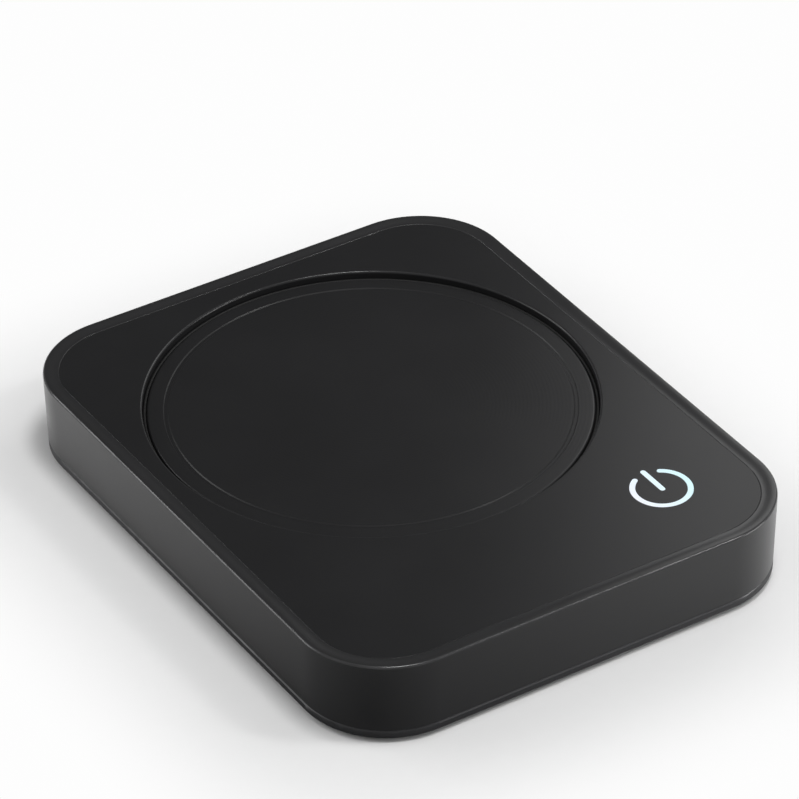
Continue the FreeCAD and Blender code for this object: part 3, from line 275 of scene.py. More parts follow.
class Effects:
    """Node groups that several finishes use; each puts out values, colours or normals only."""

    grain: bpy.types.NodeTree
    dust: bpy.types.NodeTree
    edges: bpy.types.NodeTree
    grain_height = 0.00002
    drift_scale = 45.0
    least_rise = 0.2
    speck_scale = 1600.0
    speck_span = (0.6, 0.75)
    cloud_scale = 60.0
    wear_scale = 240.0
    wear_span = (0.35, 0.65)
    least_wear = 0.3

    @classmethod
    def build(cls) -> None:
        """Builds every group once."""
        cls.grain = cls._grain()
        cls.dust = cls._dust()
        cls.edges = cls._edges()

    @classmethod
    def _grain(cls) -> bpy.types.NodeTree:
        """The fine relief of a moulded or cast skin, with slow drift in gloss.

        Returns:
            The group.
        """
        tree, graph, given, out = start_group(
            "skin_grain", "ShaderNodeTree",
            [("Scale", Socket.NUMBER, 2500.0), ("Depth", Socket.NUMBER, 0.1),
             ("Roughness", Socket.NUMBER, 0.5), ("Drift", Socket.NUMBER, 0.05)],
            [("Roughness", Socket.NUMBER), ("Normal", Socket.VECTOR), ("Mottle", Socket.NUMBER)],
        )
        place = graph.place()
        cells = graph.node("ShaderNodeTexVoronoi", {"Vector": place, "Scale": given.outputs["Scale"]})
        fine = graph.noise(place, given.outputs["Scale"], 3.0)
        slow = graph.noise(place, cls.drift_scale, 4.0)
        relief = graph.math("ADD", cells.outputs["Distance"], fine)
        bump = graph.relief(relief, given.outputs["Depth"], cls.grain_height)
        drift = graph.math("MULTIPLY", graph.math("SUBTRACT", slow, 0.5), given.outputs["Drift"])
        rough = graph.math("ADD", given.outputs["Roughness"], drift, clamp=True)
        graph.link(rough, out.inputs["Roughness"])
        graph.link(bump, out.inputs["Normal"])
        graph.link(slow, out.inputs["Mottle"])
        return tree

    @classmethod
    def _dust(cls) -> bpy.types.NodeTree:
        """A mask of fine dust that settles on faces that look up.

        Returns:
            The group.
        """
        tree, graph, given, out = start_group(
            "settled_dust", "ShaderNodeTree", [("Amount", Socket.NUMBER, 0.02)], [("Mask", Socket.NUMBER)])
        place = graph.place()
        normal = graph.node("ShaderNodeNewGeometry").outputs["Normal"]
        up = graph.axis(normal, "Z")
        facing = graph.spread(up, cls.least_rise, 1.0)
        specks = graph.noise(place, cls.speck_scale, 2.0)
        cloud = graph.noise(place, cls.cloud_scale, 4.0)
        sharp = graph.spread(specks, *cls.speck_span)
        mask = graph.math("MULTIPLY", graph.math("MULTIPLY", sharp, cloud), facing)
        mask = graph.math("MULTIPLY", mask, given.outputs["Amount"], clamp=True)
        graph.link(mask, out.inputs["Mask"])
        return tree

    @classmethod
    def _edges(cls) -> bpy.types.NodeTree:
        """A mask of rounded edges between level and upright faces, which handling polishes; the same mask
        places a painted highlight on them.

        Returns:
            The group.
        """
        tree, graph, given, out = start_group(
            "handled_edges_and_highlight", "ShaderNodeTree", [("Slope", Socket.NUMBER, 0.12)], [("Mask", Socket.NUMBER)])
        normal = graph.node("ShaderNodeNewGeometry").outputs["Normal"]
        rise = graph.math("ABSOLUTE", graph.axis(normal, "Z"))
        rest = graph.math("SUBTRACT", 1.0, graph.math("MULTIPLY", rise, rise), clamp=True)
        level = graph.math("SQRT", rest)
        slope = graph.math("SUBTRACT", 1.0, graph.math("MAXIMUM", rise, level))
        mask = graph.math("DIVIDE", slope, given.outputs["Slope"], clamp=True)
        place = graph.place()
        patches = graph.noise(place, cls.wear_scale, 3.0)
        wear = graph.spread(patches, *cls.wear_span, cls.least_wear, 1.0)
        worn_and_highlit = graph.math("MULTIPLY", mask, wear, clamp=True)
        graph.link(worn_and_highlit, out.inputs["Mask"])
        return tree


# Finishes


@dataclass(frozen=True)
class Finish:
    """A procedural finish on one material slot.

    The base class gives a skin with grain, a slow drift in colour and gloss, and a trace of dust.
    """

    slot: str
    colour: tuple
    roughness: float = 0.5
    grain_scale: float = 2500.0
    grain_depth: float = 0.15
    drift: float = 0.08
    dust: float = 0.03
    metallic: float = 0.0
    specular: float = 0.5
    mottle: float = 0.12
    dust_colour: tuple = (0.45, 0.43, 0.40)

    def build(self) -> bpy.types.Material:
        """Builds the material.

        Returns:
            The slot's material, with its nodes made anew.
        """
        material = bpy.data.materials.get(self.slot) or bpy.data.materials.new(self.slot)
        material.use_nodes = True
        material.node_tree.nodes.clear()
        graph = Graph(material.node_tree)
        shader = graph.node("ShaderNodeBsdfPrincipled")
        out = graph.node("ShaderNodeOutputMaterial", {"Surface": shader.outputs[0]})
        out.target = "ALL"
        skin = graph.node("ShaderNodeGroup", node_tree=Effects.grain)
        skin.inputs["Scale"].default_value = self.grain_scale
        skin.inputs["Depth"].default_value = self.grain_depth
        skin.inputs["Roughness"].default_value = self.roughness
        skin.inputs["Drift"].default_value = self.drift
        shader.inputs["Metallic"].default_value = self.metallic
        shader.inputs["Specular IOR Level"].default_value = self.specular
        colour = self.pattern(graph, shader, skin)
        film = graph.node("ShaderNodeGroup", node_tree=Effects.dust)
        film.inputs["Amount"].default_value = self.dust
        dusty = graph.tint(film.outputs["Mask"], colour, rgba(self.dust_colour))
        graph.link(dusty, shader.inputs["Base Color"])
        for name in ("Roughness", "Normal"):
            if not shader.inputs[name].is_linked:
                graph.link(skin.outputs[name], shader.inputs[name])
        return material

    def pattern(self, graph: Graph, shader: bpy.types.Node, skin: bpy.types.Node) -> bpy.types.NodeSocket:
        """Gives the colour, and sets whatever else the finish needs.

        Args:
            graph: the material's nodes.
            shader: the surface shader.
            skin: the grain group's node.

        Returns:
            The colour's socket.
        """
        low = rgba(self.colour, 1 - self.mottle)
        high = rgba(self.colour, 1 + self.mottle)
        return graph.tint(skin.outputs["Mottle"], low, high)


@dataclass(frozen=True)
class HandledPlasticEdgeHighlight(Finish):
    """Moulded plastic whose edges are a little smoother from the mould and from hands, and lighter by a
    painted highlight.
    """

    edge_highlight_lift: float = 2.2
    edge_slope: float = 0.12
    edge_polish: float = 0.2

    def pattern(self, graph, shader, skin):
        """Paints a highlight on convex edges by lightening their colour, and polishes them. See
        Finish.pattern.
        """
        base = super().pattern(graph, shader, skin)
        edge = graph.node("ShaderNodeGroup", node_tree=Effects.edges)
        edge.inputs["Slope"].default_value = self.edge_slope
        # Painted highlight: convex edges get a lighter colour that stands in for light caught by their
        # rounding.
        highlit = rgba(self.colour, self.edge_highlight_lift)
        smooth = graph.math("SUBTRACT", skin.outputs["Roughness"],
                            graph.math("MULTIPLY", edge.outputs["Mask"], self.edge_polish), clamp=True)
        graph.link(smooth, shader.inputs["Roughness"])
        return graph.tint(edge.outputs["Mask"], base, highlit)


@dataclass(frozen=True)
class DrawnMetal(Finish):
    """Metal with fine drawn lines along one axis."""

    metallic: float = 1.0
    line_scale: float = 900.0
    line_span: tuple = (0.3, 0.7)
    line_height: float = 0.00003
    line_depth: float = 0.2
    smoother: float = 0.07
    rougher: float = 0.1
    shade: float = 0.8
    stretch: tuple = (1.0, 0.04, 1.0)

    def pattern(self, graph, shader, skin):
        """Adds lines to colour, gloss and relief. See Finish.pattern."""
        place = graph.place()
        turned = graph.node("ShaderNodeMapping", {"Vector": place, "Scale": self.stretch})
        lines = graph.noise(turned.outputs[0], self.line_scale, 4.0)
        rough = graph.spread(lines, *self.line_span, self.roughness - self.smoother,
                             self.roughness + self.rougher)
        bump = graph.relief(lines, self.line_depth, self.line_height)
        graph.link(rough, shader.inputs["Roughness"])
        graph.link(bump, shader.inputs["Normal"])
        return graph.tint(lines, rgba(self.colour, self.shade), rgba(self.colour))


@dataclass(frozen=True)
class WovenFibre(Finish):
    """A varnished braid or pressed fibre mat."""

    thread_scale: float = 1400.0
    twist: float = 0.6
    wander: float = 1.5
    thread_height: float = 0.0001
    thread_depth: float = 0.6
    shade: float = 0.7

    def pattern(self, graph, shader, skin):
        """Crosses two sets of threads. See Finish.pattern."""
        place = graph.place()
        relief = None
        for turn in (self.twist, -self.twist):
            turned = graph.node("ShaderNodeMapping", {"Vector": place, "Rotation": (0.0, turn, turn)})
            wave = graph.node("ShaderNodeTexWave", {"Vector": turned.outputs[0], "Scale": self.thread_scale,
                                                    "Distortion": self.wander, "Detail": 2.0})
            relief = wave.outputs[1] if relief is None else graph.math("MAXIMUM", relief, wave.outputs[1])
        bump = graph.relief(relief, self.thread_depth, self.thread_height)
        graph.link(bump, shader.inputs["Normal"])
        return graph.tint(relief, rgba(self.colour, self.shade), rgba(self.colour))


@dataclass(frozen=True)
class FlakedSheet(Finish):
    """Pressed flakes with a pearly sheen."""

    flake_scale: float = 320.0
    gloss_span: tuple = (0.2, 0.5)
    shade: float = 0.6
    shine: float = 1.2

    def pattern(self, graph, shader, skin):
        """Gives each flake its own tone and gloss. See Finish.pattern."""
        place = graph.place()
        flakes = graph.node("ShaderNodeTexVoronoi", {"Vector": place, "Scale": self.flake_scale})
        tone = graph.node("ShaderNodeSeparateColor", {0: flakes.outputs["Color"]}).outputs[0]
        graph.link(graph.spread(tone, 0.0, 1.0, *self.gloss_span), shader.inputs["Roughness"])
        return graph.tint(tone, rgba(self.colour, self.shade), rgba(self.colour, self.shine))


@dataclass(frozen=True)
class PrintedBoard(Finish):
    """Solder mask over copper tracks."""

    track_scale: float = 95.0
    track: tuple = (0.10, 0.34, 0.16)
    tracks: float = 14.0
    track_share: float = 0.55
    track_height: float = 0.00004
    track_depth: float = 0.5

    def pattern(self, graph, shader, skin):
        """Lays stepped tracks under the mask. See Finish.pattern."""
        place = graph.place()
        cells = graph.node("ShaderNodeTexVoronoi", {"Vector": place, "Scale": self.track_scale},
                           distance="CHEBYCHEV", feature="F1")
        ring = graph.math("MULTIPLY", cells.outputs["Distance"], self.tracks)
        step = graph.math("GREATER_THAN", graph.math("FRACT", ring), self.track_share)
        bump = graph.relief(step, self.track_depth, self.track_height)
        graph.link(bump, shader.inputs["Normal"])
        return graph.tint(step, rgba(self.colour), rgba(self.track))


@dataclass(frozen=True)
class LitDiffuser(Finish):
    """A frosted white lens that glows on its upper strokes."""

    glow: tuple = (0.62, 0.93, 0.98)
    glow_left: tuple = (0.90, 0.90, 1.0)
    strength: float = 0.74
    lit_above: float = 0.0172
    tint_span: tuple = (0.025, 0.037)
    cloud_scale: float = 260.0
    level_span: tuple = (0.92, 1.04)

    def pattern(self, graph, shader, skin):
        """Lights the strokes, with a slow cloudy change in brightness. See Finish.pattern."""
        place = graph.place()
        height = graph.axis(place, "Z")
        lit = graph.math("GREATER_THAN", height, self.lit_above)
        cloud = graph.noise(place, self.cloud_scale, 2.0)
        level = graph.spread(cloud, 0.3, 0.7, *self.level_span)
        power = graph.math("MULTIPLY", graph.math("MULTIPLY", lit, level), self.strength)
        across = graph.axis(place, "X")
        side = graph.spread(across, *self.tint_span)
        colour = graph.tint(side, rgba(self.glow_left), rgba(self.glow))
        graph.link(colour, shader.inputs["Emission Color"])
        graph.link(power, shader.inputs["Emission Strength"])
        return super().pattern(graph, shader, skin)


@dataclass(frozen=True)
class CoatedPlate(Finish):
    """A cast plate under a non-stick coat, turned in fine rings about the seat."""

    centre_y: float = 0.012
    ring_scale: float = 1300.0
    ring_share: float = 0.2
    ring_height: float = 0.00003
    ring_depth: float = 0.25

    def pattern(self, graph, shader, skin):
        """Adds turned rings to relief and gloss. See Finish.pattern."""
        place = graph.place()
        moved = graph.node("ShaderNodeMapping", {"Vector": place, "Location": (0.0, -self.centre_y, 0.0)})
        flat = graph.vector("MULTIPLY", moved.outputs[0], (1.0, 1.0, 0.0))
        reach = graph.vector("LENGTH", flat)
        rings = graph.math("SINE", graph.math("MULTIPLY", reach, self.ring_scale * math.tau))
        height = graph.math("ADD", graph.math("MULTIPLY", rings, self.ring_share), skin.outputs["Mottle"])
        bump = graph.relief(height, self.ring_depth, self.ring_height)
        graph.link(bump, shader.inputs["Normal"])
        return super().pattern(graph, shader, skin)


FINISHES = (
    # The moulded plastics paint a highlight on their rounded edges through their edge lift.
    HandledPlasticEdgeHighlight("housing_plastic", (0.0175, 0.0175, 0.0182), 0.32, 2600.0, 0.16, dust=0.006,
                   specular=0.46),
    HandledPlasticEdgeHighlight("panel_plastic", (0.0128, 0.0128, 0.0134), 0.34, 3400.0, 0.10, dust=0.005, specular=0.27,
                   edge_highlight_lift=1.6),
    LitDiffuser("symbol_lens", (0.20, 0.24, 0.26), 0.35, dust=0.0),
    CoatedPlate("plate_coating", (0.012, 0.012, 0.0126), 0.36, 2000.0, 0.12, dust=0.004, specular=0.3),
    Finish("seal_silicone", (0.008, 0.008, 0.008), 0.62, 1800.0, 0.2, specular=0.3),
    HandledPlasticEdgeHighlight("base_plastic", (0.020, 0.020, 0.0215), 0.48, 1900.0, 0.3, specular=0.4),
    Finish("foot_rubber", (0.018, 0.018, 0.018), 0.75, 1500.0, 0.4),
    Finish("gland_rubber", (0.016, 0.016, 0.016), 0.66, 1700.0, 0.3),
    DrawnMetal("screw_steel", (0.62, 0.62, 0.64), 0.32),
    DrawnMetal("clamp_steel", (0.60, 0.60, 0.61), 0.35, line_scale=500.0),
    DrawnMetal("spring_steel", (0.66, 0.66, 0.68), 0.28, stretch=(1.0, 1.0, 0.1)),
    FlakedSheet("mica", (0.55, 0.48, 0.33), 0.35),
    DrawnMetal("foil_alloy", (0.62, 0.57, 0.50), 0.36),
    WovenFibre("insulation_fibre", (0.82, 0.81, 0.76), 0.9, thread_scale=700.0),
    Finish("sensor_ceramic", (0.80, 0.78, 0.72), 0.25, 900.0, 0.1),
    Finish("lead_jacket", (0.78, 0.78, 0.75), 0.5, 1600.0, 0.2),
    WovenFibre("sleeve_weave", (0.86, 0.83, 0.72), 0.55),
    DrawnMetal("fuse_metal", (0.75, 0.75, 0.76), 0.25, stretch=(0.04, 1.0, 1.0)),
    PrintedBoard("board_laminate", (0.03, 0.16, 0.07), 0.3),
    Finish("chip_epoxy", (0.022, 0.022, 0.022), 0.55, 3000.0, 0.5),
    Finish("capacitor_film", (0.72, 0.58, 0.10), 0.45, 2200.0, 0.3),
    DrawnMetal("capacitor_can", (0.10, 0.11, 0.16), 0.35, metallic=0.2),
    Finish("varistor_epoxy", (0.06, 0.14, 0.42), 0.3, 500.0, 0.6),
    Finish("terminal_plastic", (0.05, 0.30, 0.12), 0.45, 2400.0, 0.3),
    Finish("socket_plastic", (0.84, 0.82, 0.75), 0.5, 2400.0, 0.3),
    Finish("hood_plastic", (0.015, 0.015, 0.015), 0.6, 2400.0, 0.3),
    Finish("lamp_epoxy", (0.86, 0.85, 0.70), 0.2, 900.0, 0.05),
)


# Mesh helpers


@dataclass(frozen=True)
class Slab:
    """The slab's outline and the places of the seat and the touch mark, in millimetres."""

    width: float = 104.0
    depth: float = 130.0
    corner: float = 18.5
    corner_steps: int = 26
    side_step: float = 1.6
    seat_y: float = 12.0
    seat: float = 45.1
    mark_x: float = 30.9
    mark_y: float = -43.6

    def outline(self, inset: float, z: float) -> list[Vector]:
        """A loop that runs round the slab.

        Args:
            inset: how far the loop lies inside the outline.
            z: its height.

        Returns:
            Points in metres, the same count at every inset.
        """
        reach_x, reach_y = self.width / 2 - self.corner, self.depth / 2 - self.corner
        turn = self.corner - inset
        points = []
        centres = ((reach_x, -reach_y), (reach_x, reach_y), (-reach_x, reach_y), (-reach_x, -reach_y))
        for number, (x, y) in enumerate(centres):
            for step in range(self.corner_steps + 1):
                angle = math.radians(90 * number - 90 + 90 * step / self.corner_steps)
                points.append(Vector((x + turn * math.cos(angle), y + turn * math.sin(angle), z)) * MM)
            following = centres[(number + 1) % 4]
            span = math.dist((x, y), following)
            count = round(span / self.side_step)
            end_angle = math.radians(90 * number)
            lift = Vector((math.cos(end_angle), math.sin(end_angle), 0)) * turn
            for step in range(1, count):
                along = Vector((x, y, z)).lerp(Vector((*following, z)), step / count)
                points.append((along + lift) * MM)
        return points

    def circle(self, radius: float, z: float) -> list[Vector]:
        """A loop round the seat whose points face those of the outline.

        Args:
            radius: the loop's radius.
            z: its height.

        Returns:
            Points in metres, as many as an outline has.
        """
        centre = Vector((0, self.seat_y * MM, 0))
        points = []
        for place in self.outline(0.0, 0.0):
            way = (place - centre).normalized()
            points.append(centre + way * radius * MM + Vector((0, 0, z * MM)))
        return points


SLAB = Slab()


def arc(x: float, z: float, radius: float, start: float, end: float, steps: int = 6) -> list[tuple]:
    """Points of a rounding in a section.

    Args:
        x: the centre's inset or reach.
        z: the centre's height.
        radius: the rounding's radius.
        start: first angle in degrees.
        end: last angle in degrees.
        steps: how many facets.

    Returns:
        Pairs of x and z.
    """
    angles = (math.radians(start + (end - start) * step / steps) for step in range(steps + 1))
    return [(x + radius * math.cos(angle), z + radius * math.sin(angle)) for angle in angles]


def bridge(bm: bmesh.types.BMesh, loops: Sequence[Sequence[Vector]], closed: bool = True) -> None:
    """Joins loops of equal count by strips of quads.

    Args:
        bm: the mesh under work.
        loops: the loops in order.
        closed: joins the last loop to the first; otherwise both ends are capped.
    """
    rings = [[bm.verts.new(point) for point in loop] for loop in loops]
    pairs = list(zip(rings, rings[1:]))
    if closed:
        pairs.append((rings[-1], rings[0]))
    for lower, upper in pairs:
        count = len(lower)
        for index in range(count):
            following = (index + 1) % count
            bm.faces.new((lower[index], lower[following], upper[following], upper[index]))
    if not closed:
        bm.faces.new(list(reversed(rings[0])))
        bm.faces.new(rings[-1])


def skin_over(name: str, loops: Sequence[Sequence[Vector]], closed: bool = True) -> bpy.types.Object:
    """Makes an object from loops of equal count.

    Args:
        name: the object's name.
        loops: the loops in order.
        closed: joins the last loop to the first; otherwise both ends are capped.

    Returns:
        The object.
    """
    bm = bmesh.new()
    bridge(bm, loops, closed)
    return to_object(name, bm)


def to_object(name: str, bm: bmesh.types.BMesh) -> bpy.types.Object:
    """Turns a mesh under work into a linked object with normals that look outward.

    Args:
        name: the object's name.
        bm: the mesh under work, which is freed.

    Returns:
        The object.
    """
    bmesh.ops.recalc_face_normals(bm, faces=bm.faces[:])
    mesh = bpy.data.meshes.new(name)
    bm.to_mesh(mesh)
    bm.free()
    made = bpy.data.objects.new(name, mesh)
    bpy.context.scene.collection.objects.link(made)
    return made


def lathe(name: str, section: Sequence[tuple], centre: tuple = (0.0, 0.0), segments: int = 192,
          closed: bool = True, along_y: bool = False, height: float = 0.0) -> bpy.types.Object:
    """A turned piece.

    Args:
        name: the object's name.
        section: pairs of radius and place along the axis, in millimetres.
        centre: x and y of the axis, or x only where it runs along Y.
        segments: facets round the axis.
        closed: True where the section is a ring that doesn't touch the axis.
        along_y: turns about a line along Y at the given height.
        height: that line's height.

    Returns:
        The object.
    """
    loops = []
    for radius, place in section:
        loop = []
        for index in range(segments):
            angle = math.tau * index / segments
            across, lift = radius * math.cos(angle), radius * math.sin(angle)
            if along_y:
                point = Vector((centre[0] + across, place, height + lift))
            else:
                point = Vector((centre[0] + across, centre[1] + lift, place))
            loop.append(point * MM)
        loops.append(loop)
    return skin_over(name, loops, closed)


def prism(name: str, outline: Sequence[tuple], low: float, high: float) -> bpy.types.Object:
    """A straight prism.

    Args:
        name: the object's name.
        outline: pairs of x and y in millimetres.
        low: bottom height.
        high: top height.

    Returns:
        The object.
    """
    return skin_over(name, [[Vector((x, y, z)) * MM for x, y in outline] for z in (low, high)], closed=False)


def evaluated_mesh(piece: bpy.types.Object) -> bpy.types.Mesh:
    """The mesh that a piece's modifiers give.

    Args:
        piece: the object.

    Returns:
        A new plain mesh.
    """
    graph = bpy.context.evaluated_depsgraph_get()
    return bpy.data.meshes.new_from_object(piece.evaluated_get(graph))


def bake(piece: bpy.types.Object) -> None:
    """Applies a piece's modifiers.

    Args:
        piece: the object.
    """
    mesh = evaluated_mesh(piece)
    piece.modifiers.clear()
    old = piece.data
    piece.data = mesh
    bpy.data.meshes.remove(old)


def discard(*pieces: bpy.types.Object) -> None:
    """Removes helper objects.

    Args:
        *pieces: the objects.
    """
    for piece in pieces:
        mesh = piece.data
        bpy.data.objects.remove(piece)
        bpy.data.meshes.remove(mesh)


def combine(operation: str, piece: bpy.types.Object, *others: bpy.types.Object) -> None:
    """Cuts solids out of a piece or joins them to it, and removes them.

    Args:
        operation: DIFFERENCE or UNION.
        piece: the object that is kept.
        *others: closed solids.
    """
    for other in others:
        step = piece.modifiers.new("solid", "BOOLEAN")
        step.operation = operation
        step.solver = "EXACT"
        step.object = other
        bake(piece)
    discard(*others)


def smooth(piece: bpy.types.Object, angle: float = 32.0) -> None:
    """Shades a piece smooth with sharp edges kept, and lets large faces stay flat.

    Args:
        piece: the object.
        angle: edges above this angle stay sharp.
    """
    piece.data.shade_smooth()
    piece.data.set_sharp_from_angle(angle=math.radians(angle))
    step = piece.modifiers.new("flat_faces", "WEIGHTED_NORMAL")
    step.keep_sharp = True
    step.weight = 80


def stand_for(piece: bpy.types.Object, slot: str, *nodes: str) -> None:
    """Gives a piece its shading and finish, and lets it stand for solids of the frame.

    Args:
        piece: the object.
        slot: the material slot.
        *nodes: the solids that it replaces.
    """
    smooth(piece)
    piece.data.materials.clear()
    piece.data.materials.append(bpy.data.materials[slot])
    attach(piece, "root")
    if nodes:
        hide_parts(*nodes)


class Repeater:
    """Copies a template to the corners of a rectangle with Geometry Nodes."""

    def __init__(self) -> None:
        """Builds the node group once."""
        tree, graph, given, out = start_group(
            "corner_copies", "GeometryNodeTree",
            [("Geometry", Socket.MESH, None), ("Template", Socket.OBJECT, None),
             ("Across", Socket.NUMBER, 0.1), ("Along", Socket.NUMBER, 0.1), ("Shift", Socket.NUMBER, 0.0),
             ("Turn", Socket.NUMBER, 0.0), ("Seed", Socket.WHOLE, SEED), ("Finish", Socket.MATERIAL, None)],
            [("Geometry", Socket.MESH)],
        )
        grid = graph.node("GeometryNodeMeshGrid", {"Size X": given.outputs["Across"],
                                                   "Size Y": given.outputs["Along"],
                                                   "Vertices X": 2, "Vertices Y": 2})
        offset = graph.node("ShaderNodeCombineXYZ", {"Y": given.outputs["Shift"]})
        moved = graph.node("GeometryNodeTransform", {"Geometry": grid.outputs["Mesh"],
                                                     "Translation": offset.outputs[0]})
        source = graph.node("GeometryNodeObjectInfo", {"Object": given.outputs["Template"]})
        chance = graph.node("FunctionNodeRandomValue", {"Max": given.outputs["Turn"],
                                                        "Seed": given.outputs["Seed"]}, data_type="FLOAT")
        spin = graph.node("ShaderNodeCombineXYZ", {"Z": chance.outputs[1]})
        copies = graph.node("GeometryNodeInstanceOnPoints", {"Points": moved.outputs[0],
                                                             "Instance": source.outputs["Geometry"],
                                                             "Rotation": spin.outputs[0]})
        real = graph.node("GeometryNodeRealizeInstances", {"Geometry": copies.outputs[0]})
        painted = graph.node("GeometryNodeSetMaterial", {"Geometry": real.outputs[0],
                                                         "Material": given.outputs["Finish"]})
        tree.links.new(painted.outputs[0], out.inputs["Geometry"])
        self.tree = tree

    def spread(self, name: str, template: bpy.types.Object, across: float, along: float, slot: str,
               shift: float = 0.0, turn: float = 0.0) -> bpy.types.Object:
        """Makes the copies and bakes them to a plain mesh.

        Args:
            name: the new object's name.
            template: the piece that is copied, which is then removed.
            across: the rectangle's size along X in millimetres.
            along: its size along Y.
            slot: the material slot.
            shift: how far the rectangle's middle lies behind the origin.
            turn: the largest chance turn of a copy, in radians.

        Returns:
            The baked object.
        """
        made = bpy.data.objects.new(name, bpy.data.meshes.new(name))
        bpy.context.scene.collection.objects.link(made)
        step = made.modifiers.new("copies", "NODES")
        step.node_group = self.tree
        wanted = {"Template": template, "Across": across * MM, "Along": along * MM, "Shift": shift * MM,
                  "Turn": turn, "Seed": SEED, "Finish": bpy.data.materials[slot]}
        for item in self.tree.interface.items_tree:
            if item.item_type == "SOCKET" and item.in_out == "INPUT" and item.name in wanted:
                step[item.identifier] = wanted[item.name]
        bake(made)
        discard(template)
        return made


# Sub-assemblies


@dataclass
class Housing:
    """The drafted shell with its rim band, seat ledge, collar, posts and bosses."""

    repeat: Repeater
    draft: float = 0.4
    wall: float = 2.2
    edge: float = 0.5
    rim: float = 3.2
    rim_drop: float = 0.28
    least_inset: float = 0.014
    lip: float = 0.12
    seam: float = 2.6
    seam_bevel: float = 0.3
    top: float = 18.0
    deck_top: float = 16.1
    deck_bottom: float = 14.1
    ledge: float = 14.5
    well: float = 40.5
    collar: float = 47.1
    collar_bottom: float = 12.7
    post: float = 3.5
    post_bottom: float = 4.6
    post_x: float = 41.5
    post_y: float = 54.5
    boss_bottom: float = 9.6
    boss_x: float = 42.6
    boss_y: float = 29.83
    pilot: float = 1.35
    inlet_z: float = 9.85
    inlet: float = 3.3
    inlet_facets: int = 97
    inlet_cut: tuple = (60.0, 67.0)
    window_cut: tuple = (13.0, 17.0)
    post_chamfer: float = 0.2
    step: float = 1.0
    window: float = 8.8

    def section(self) -> list[list[Vector]]:
        """The shell's loops, from the seam up the wall, over the rim, down the seat and back.

        Returns:
            Closed set of loops.
        """
        outer = [(self.draft + self.seam_bevel, self.seam), (self.draft, self.seam + self.seam_bevel)]
        steps = 8
        low, high = self.seam + self.seam_bevel, self.top - self.edge
        for step in range(1, steps):
            share = step / steps
            outer.append((self.draft * (1 - share), low + (high - low) * share))
        outer += arc(self.edge, high, self.edge, 180, 90, 8)
        span = self.rim - self.edge - 2 * self.lip
        for step in range(1, steps + 1):
            fall = (1 - math.cos(math.pi * step / steps)) / 2
            outer.append((self.edge + span * step / steps, self.top - self.rim_drop * fall))
        outer += arc(self.rim - self.lip, self.top - self.rim_drop - self.lip, self.lip, 90, 0, 4)
        outer += [(self.rim, self.top - self.step), (self.rim, self.deck_top)]
        loops = [SLAB.outline(max(inset, self.least_inset), z) for inset, z in outer]
        for radius, z in ((SLAB.seat, self.deck_top), (SLAB.seat, self.ledge), (self.well, self.ledge),
                          (self.well, self.collar_bottom), (self.collar, self.collar_bottom),
                          (self.collar, self.deck_bottom)):
            loops.append(SLAB.circle(radius, z))
        inner = self.draft + self.wall
        loops += [SLAB.outline(inner, self.deck_bottom), SLAB.outline(inner, self.seam)]
        return loops

    def build(self) -> None:
        """Builds the shell, its posts and its bosses."""
        shell = skin_over("housing_shell", self.section())
        # An odd count of facets keeps the cutter's points off the wall's middle line.
        inlet = lathe("inlet_cutter", [(self.inlet, place) for place in self.inlet_cut], (0.0, 0.0),
                      self.inlet_facets, False, True, self.inlet_z)
        window = lathe("window_cutter", [(self.window, place) for place in self.window_cut],
                       (SLAB.mark_x, SLAB.mark_y), 128, False)
        combine("DIFFERENCE", shell, inlet, window)
        stand_for(shell, "housing_plastic", "top_housing")
        for piece in (self._posts(), self._bosses()):
            stand_for(piece, "housing_plastic")

    def _posts(self) -> bpy.types.Object:
        """The four screw posts.

        Returns:
            The posts.
        """
        chamfer = self.post_chamfer
        template = lathe("post_template", [
            (self.pilot, self.post_bottom + chamfer), (self.pilot + chamfer, self.post_bottom),
            (self.post - chamfer, self.post_bottom), (self.post, self.post_bottom + chamfer),
            (self.post, self.deck_bottom), (self.pilot, self.deck_bottom)], segments=64)
        return self.repeat.spread("housing_posts", template, 2 * self.post_x, 2 * self.post_y,
                                  "housing_plastic")

    def _bosses(self) -> bpy.types.Object:
        """The four bosses for the clamp plate's screws.

        Returns:
            The bosses.
        """
        template = lathe("boss_template", [
            (self.pilot, self.boss_bottom), (self.post, self.boss_bottom), (self.post, self.deck_bottom),
            (self.pilot, self.deck_bottom)], segments=64)
        return self.repeat.spread("housing_bosses", template, 2 * self.boss_x, 2 * self.boss_y,
                                  "housing_plastic", shift=SLAB.seat_y)


